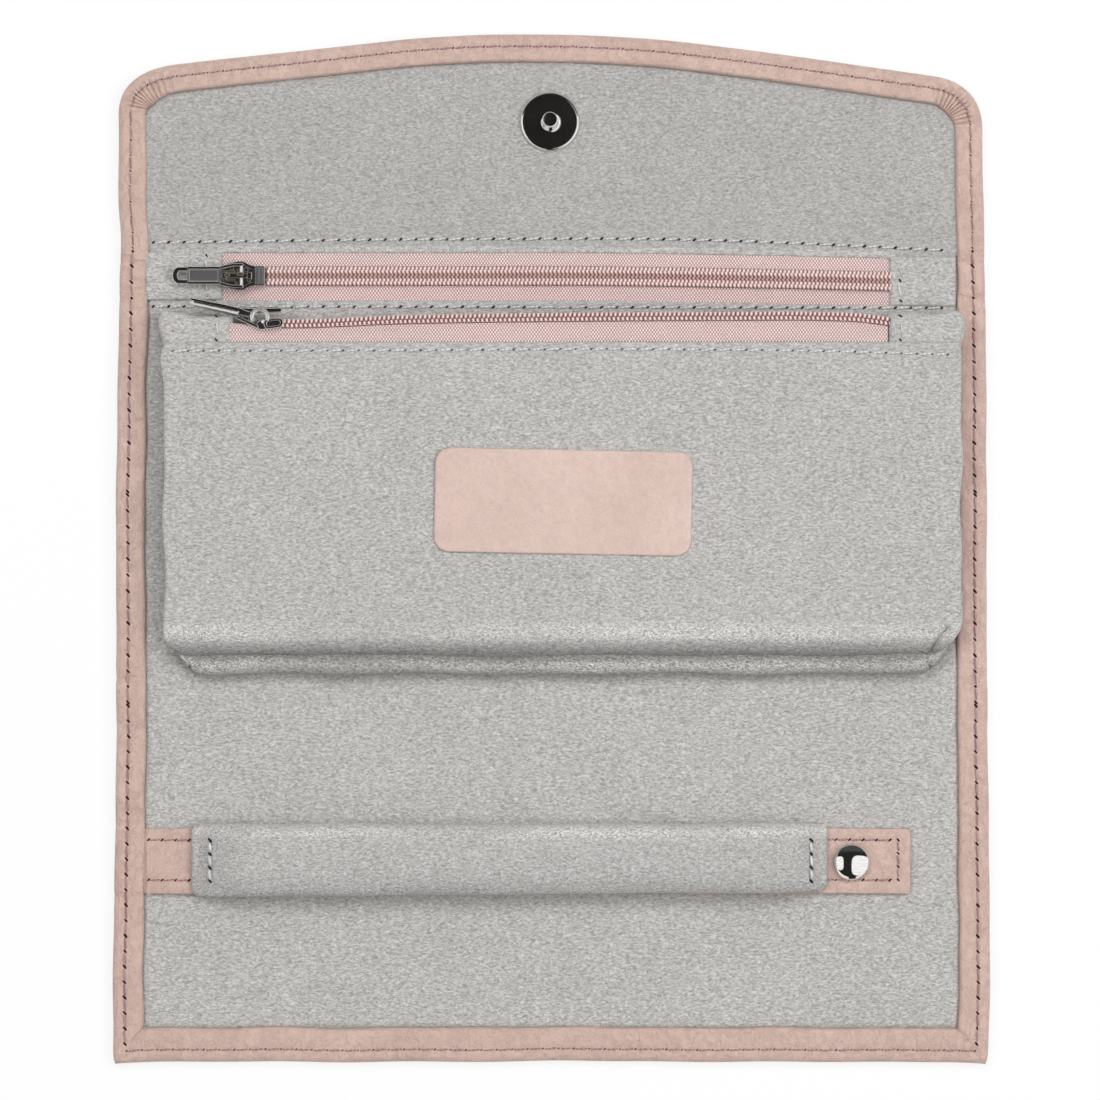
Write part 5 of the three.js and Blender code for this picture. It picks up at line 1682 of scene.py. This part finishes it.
s = Shape()
HOUSE = (-65.4, 52.5, 0.14)
slab(s, capsule(-2.1, 1.9, 1.05, *HOUSE), 5.2, 11.2)
framed(s, capsule(-0.4, 2.0, 1.1, *HOUSE), capsule(-0.2, 1.8, 0.6, *HOUSE), 11.1, 11.65)
slab(s, capsule(-2.6, 2.4, 0.35, -70.6, 52.9, -0.45), 6.4, 11.3)
slab(s, capsule(-2.6, 2.4, 0.5, -65.6, 55.7, 0.03), 5.6, 10.0)
slab(s, capsule(-4.2, 0.8, 0.45, -68.3, 55.6, -0.06), 5.6, 9.8)
slab(s, [(-72.2, 53.0), (-70.6, 53.0), (-70.6, 55.6), (-72.2, 55.6)], 5.4, 8.8)
arc = [(-67.8 + 1.85 * math.cos(t), 54.1 + 1.75 * math.sin(t), 11.4) for t in np.linspace(-0.5, math.pi + 0.6, 15)]
s.tube(arc, 0.52, sides=10)
s.tube([(-67.0, 53.0, 11.4), (-67.2, 53.3, 10.2), (-67.2, 53.4, 8.0)], 0.5)
s.tube([(-69.3, 53.4, 11.4), (-69.3, 53.6, 10.2), (-69.2, 53.7, 8.0)], 0.45)
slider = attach(bevelled(s.done("zip2_slider_body", DARK, smooth=False), 0.1), "second_slider")
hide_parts("zip2_slider")

s = Shape()
bar = [(-84.1, 56.9), (-83.2, 56.6), (-76, 54.95), (-72.9, 54.15), (-70.6, 53.75), (-69.0, 53.9), (-69.1, 54.5)]
bar += [(-70.6, 55.0), (-72.4, 55.75), (-76, 56.6), (-83.0, 58.0), (-84.2, 58.2)]
slab(s, bar, 6.7, 10.4, lean=0.5)
bar = [(-84.25, 57.1), (-83.2, 56.9), (-72.9, 54.7), (-72.6, 55.1), (-83.1, 57.5), (-84.2, 57.7)]
slab(s, bar, 10.3, 10.75, lean=0.5)
s.tube([(-84.0, 57.7, 10.4), (-83.2, 57.5, 10.7)], [0.5, 0.42], sides=10)
s.tube([(-69.6, 54.2, 6.4), (-69.6, 54.3, 10.6)], 0.5, sides=10)
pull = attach(bevelled(s.done("zip2_pull_tab", DARK, smooth=False), 0.22, 25), "second_pull")
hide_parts("zip2_pull")


def patch_height(x, y):
    return wobble(x + 0.8 * y, 111, 13, 0.07) + wobble(y, 112, 7, 0.04)


def end_patch(name, node, box, levels, body, radii, reshape):
    s = Shape()
    panel(s, box, radii, levels, patch_height, reshape, n=6, step=1.0)
    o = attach(s.done(name, GREY), body)
    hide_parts(node)
    return o


FLAT = [(0.2, 2.25), (0.0, 2.45), (0.05, 2.75), (0.2, 2.95), (0.5, 3.05), (1.2, 3.02), (2.4, 2.96), (4.2, 2.96)]
TALL = [(0.6, 2.6), (0.15, 3.2), (0.0, 5.0), (0.0, 7.4), (0.12, 8.4), (0.4, 9.1), (0.9, 9.5), (1.6, 9.68)]
TALL += [(2.6, 9.66), (3.9, 9.6)]


def askew_patch(q):
    return np.stack([q[:, 0], shifted(q[:, 0], q[:, 1])], -1)


def ear_left(q):
    """The patch's outer upper corner puffs out, and its upper edge falls towards the zip."""
    x, y = q[:, 0], q[:, 1]
    out = np.clip((-83 - x) / 8, 0, 1)
    rise = np.clip((y - 47) / 9, 0, 1)
    return np.stack([x + 1.2 * out * np.exp(-(((y - 47.5) / 2.6) ** 2)), y - 1.6 * rise**2 * (1 - out)], -1)


def ear_right(q):
    x, y = q[:, 0], q[:, 1]
    out = np.clip((x - 88) / 8, 0, 1)
    rise = np.clip((y - 47) / 9, 0, 1)
    wave = 0.35 * np.sin((x - 80) * 0.42) * rise
    swell = np.exp(-(((y - 47) / 2.2) ** 2)) + np.exp(-(((y - 57) / 2.4) ** 2))
    return np.stack([x - 0.9 * out * swell, y - 0.9 * rise**2 * (1 - out) + wave], -1)


def end_patches(zip_name, levels, body, *sides):
    """A left and a right patch, each from its box, its corners' radii and its reshaping."""
    made = []
    for side, (box, radii, reshape) in zip(("left", "right"), sides):
        name, node = f"{zip_name}_end_{side}", f"{zip_name}_patch_{side}"
        made.append(end_patch(name, node, box, levels, body, radii, reshape))
    return made


ends = end_patches(
    "zip1",
    FLAT,
    "top_spine",
    ((-95.0, -77.0, 58.4, 69.8), (0.5, 0.4, 0.4, 0.5), askew_patch),
    ((79.8, 95.3, 58.3, 69.9), (0.4, 0.5, 0.5, 0.4), askew_patch),
)
ends += end_patches(
    "zip2",
    TALL,
    "pouch_rim",
    ((-91.7, -74.0, 46.6, 56.0), (0.8, 0.6, 1.2, 2.4), ear_left),
    ((78.9, 97.1, 46.2, 55.9), (0.6, 0.8, 2.6, 1.2), ear_right),
)


def end_stitching(name, columns, sway, pitch, length, body):
    """Columns of stitches on the end patches: (x, lowest y, highest y, height)."""
    s = Shape()
    for x, y0, y1, z in columns:
        y = np.arange(y0, y1, 1.0)
        line = np.stack([x + sway * np.sin(y), y, np.full_like(y, z)], -1)
        stitches(s, line, pitch=pitch, length=length, start=0.2, radius=0.17, bore=0.85)
    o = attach(s.done(name, LIGHT_THREAD, HOLE), body)


columns = ((-80.6, 59.0, 69.4, 2.98), (82.2, 57.9, 68.3, 2.98))
end_stitching("zip1_end_stitches", columns, 0.25, 3.3, 2.5, "top_spine")
columns = ((-77.9, 48.6, 54.8, 9.66), (82.1, 48.6, 55.2, 9.66))
end_stitching("zip2_end_stitches", columns, 0.2, 3.1, 2.4, "pouch_rim")


# Stitch columns that close the roll's ends

s = Shape()
for x in (-79.6, 61.2):
    y = np.arange(-77.9, -67.6, 0.8)
    z = []
    for q in y:
        best = 5.0
        for v in roll.data.vertices:
            if abs(v.co.x / MM - x) < 0.8 and abs(v.co.y / MM - q) < 0.8:
                best = max(best, v.co.z / MM)
        z.append(best)
    line = np.stack([np.full_like(y, x), y, np.array(z)], -1)
    stitches(s, line, pitch=2.5, length=1.95, start=0, radius=0.34, above=0.2, bore=1.1)
end_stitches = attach(s.done("ring_roll_stitches", LIGHT_THREAD, HOLE), "ring_bar")


# Sheets, with the size each was cut to

SHEETS = [
    (linings["flap"], (0.193, 0.0472), "laid", ["board_flap"], 0.0082),
    (linings["upper"], (0.1945, 0.0572), "laid", ["board_back"], 0.0093),
    (linings["lower"], (0.1946, 0.0495), "laid", ["board_back"], None),
    (linings["front"], (0.1953, 0.0779), "laid", ["board_front"], None),
    (covers["flap"], (0.2237, 0.0606), "folded", ["board_flap"], 0.0124),
    (covers["upper"], (0.2257, 0.0572), "folded", ["board_back"], None),
    (covers["lower"], (0.2267, 0.0495), "folded", ["board_back"], None),
    (covers["front"], (0.227, 0.0972), "folded", ["board_front"], 0.0215),
    (pouch_front, (0.19, 0.079), "stretched", ["pouch_bellows"], None),
    (gusset, (0.0155, 0.33), "folded", ["suede_lining_upper", "suede_lining_lower"], None),
    (label, (0.0605, 0.0255), "laid", ["pouch_front_sheet"], None),
    (strap_low, (0.1815, 0.0173), "laid", ["suede_lining_front"], None),
    (strap_top, (0.1815, 0.0175), "laid", ["ring_strap_under"], None),
    (ends[0], (0.0186, 0.013), "laid", ["suede_lining_upper"], None),
    (ends[1], (0.0166, 0.013), "laid", ["suede_lining_upper"], None),
    (ends[2], (0.0177, 0.0258), "folded", ["pouch_front_sheet"], None),
    (ends[3], (0.0182, 0.027), "folded", ["pouch_front_sheet"], None),
]
for piece, flat, held, rests_on, area in SHEETS:
    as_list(rests_on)


# CAD nodes that stay, with their finishes

FINISH = {
    "board_flap": BOARD,
    "board_back": BOARD,
    "board_front": BOARD,
    "zip1_pocket_bag": GREY,
    "magnet_male_washer": STEEL,
    "magnet_female_plate": DARK,
    "magnet_ring": STEEL,
    "strap_root_tab": PINK,
    "snap_socket": BRIGHT,
    "snap_stud": BRIGHT,
    "snap_stud_washer": STEEL,
}
for node, mat in FINISH.items():
    o = NODES[node]
    o.data.materials.clear()
    o.data.materials.append(mat)
    if node == "magnet_female_plate":
        b = o.modifiers.new("edge", "BEVEL")
        b.width = 0.00016
        b.segments = 3
        b.limit_method = "ANGLE"
        b.angle_limit = math.radians(35)


# Floor, world, lights and camera

def plane(name, size, z):
    mesh = bpy.data.meshes.new(name)
    h = size / 2
    mesh.from_pydata([(-h, -h, z), (h, -h, z), (h, h, z), (-h, h, z)], [], [(0, 1, 2, 3)])
    return linked(name, mesh)


floor = plane("floor", 6.0, -0.0003)
floor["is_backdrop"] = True
floor_mat = bpy.data.materials.new("floor_paper")
floor_mat.use_nodes = True
t = floor_mat.node_tree
b = t.nodes["Principled BSDF"]
b.inputs["Roughness"].default_value = 0.9
b.inputs["Specular IOR Level"].default_value = 0.1
tint = noise(t, coords(t), 8.0, 2)
t.links.new(ramp(t, tint, (0.2, (0.93, 0.93, 0.93, 1)), (0.8, (0.95, 0.95, 0.95, 1))), b.inputs["Base Color"])
white = put(t, "Emission", Strength=1.0)
path = put(t, "LightPath")
seen = maths(t, "MAXIMUM", path.outputs["Is Camera Ray"], path.outputs["Is Glossy Ray"])
seen = maths(t, "MULTIPLY", seen, 0.8)  # the rest is left to light and shadow
blend_in = t.nodes.new("ShaderNodeMixShader")
t.links.new(seen, blend_in.inputs[0])
t.links.new(b.outputs[0], blend_in.inputs[1])
t.links.new(white.outputs[0], blend_in.inputs[2])
t.links.new(blend_in.outputs[0], t.nodes["Material Output"].inputs["Surface"])
floor.data.materials.append(floor_mat)

world = bpy.data.worlds.new("studio")
bpy.context.scene.world = world
world.use_nodes = True
t = world.node_tree
back = t.nodes["Background"]
# white to the eye, plain grey for light, and in reflections a pale room under a dark ceiling
path = put(t, "LightPath")
direction = put(t, "SeparateXYZ", Vector=put(t, "TexCoord").outputs["Generated"])
along, up, high = direction.outputs["X"], direction.outputs["Y"], direction.outputs["Z"]


def step(value, low, high):
    n = put(t, "MapRange", {"interpolation_type": "SMOOTHSTEP"}, Value=value, From_Min=low, From_Max=high)
    return n.outputs["Result"]


def pane(x, y, half_x, half_y):
    """A pale pane with rounded corners in the reflected room."""
    parts = []
    for axis, centre, half in ((along, x, half_x), (up, y, half_y)):
        u = maths(t, "DIVIDE", maths(t, "SUBTRACT", axis, centre), half)
        parts.append(maths(t, "POWER", maths(t, "MULTIPLY", u, u), 1.7))
    return step(maths(t, "ADD", *parts), 1.1, 0.9)


left_low = maths(t, "MULTIPLY", step(along, -0.1, -0.18), step(high, 0.45, 0.3))
right_low = maths(t, "MULTIPLY", step(along, 0.25, 0.35), step(high, 0.45, 0.3))
low_front = maths(t, "MULTIPLY", maths(t, "MAXIMUM", left_low, right_low), step(up, 0.35, 0.1))
panes = maths(t, "MAXIMUM", pane(0.56, -0.24, 0.52, 0.56), pane(-0.74, -0.1, 0.35, 0.4))
glow = maths(t, "MAXIMUM", panes, low_front)
haze = maths(t, "MULTIPLY", step(up, 0.45, 0.7), 0.05)
room = ramp(t, maths(t, "ADD", glow, haze), (0.0, 0.02), (1.0, 1.0))
WORLD_LIGHT = (0.36, 0.36, 0.36, 1)
shine = mixed(t, "MIX", path.outputs["Is Glossy Ray"], WORLD_LIGHT, room)
t.links.new(mixed(t, "MIX", path.outputs["Is Camera Ray"], shine, (1, 1, 1, 1)), back.inputs["Color"])
back.inputs["Strength"].default_value = 1.0


def lamp(name, place, target, size, power, size_y):
    d = bpy.data.lights.new(name, "AREA")
    d.shape = "RECTANGLE"
    d.size, d.size_y = size, size_y
    d.energy = power
    o = linked(name, d)
    o.location = place
    o.rotation_euler = (Vector(target) - Vector(place)).to_track_quat("-Z", "Y").to_euler()
    o.visible_glossy = False


lamp("back_box", (-0.15, 0.8, 1.5), (0, 0, 0), size=1.2, power=8.5, size_y=0.6)
lamp("left_box", (-0.7, 0.08, 1.15), (0, -0.05, 0), size=0.9, power=3.5, size_y=0.55)
lamp("right_box", (0.75, 0.02, 1.05), (0.0, -0.05, 0), size=1.0, power=7.5, size_y=0.75)

data = bpy.data.cameras.new("camera")
camera = linked("camera", data)
bpy.context.scene.camera = camera
CAMERA_Z = 1.6
FRAME = 0.2588  # what the photo's square spans on the table, in metres
data.sensor_width = 36
data.lens = data.sensor_width * CAMERA_Z / FRAME
data.clip_start, data.clip_end = 0.05, 20
camera.location = (0, -0.00035, CAMERA_Z)
camera.rotation_euler = (0, 0, 0)

bpy.context.scene.view_settings.view_transform = "Standard"
low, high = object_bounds()
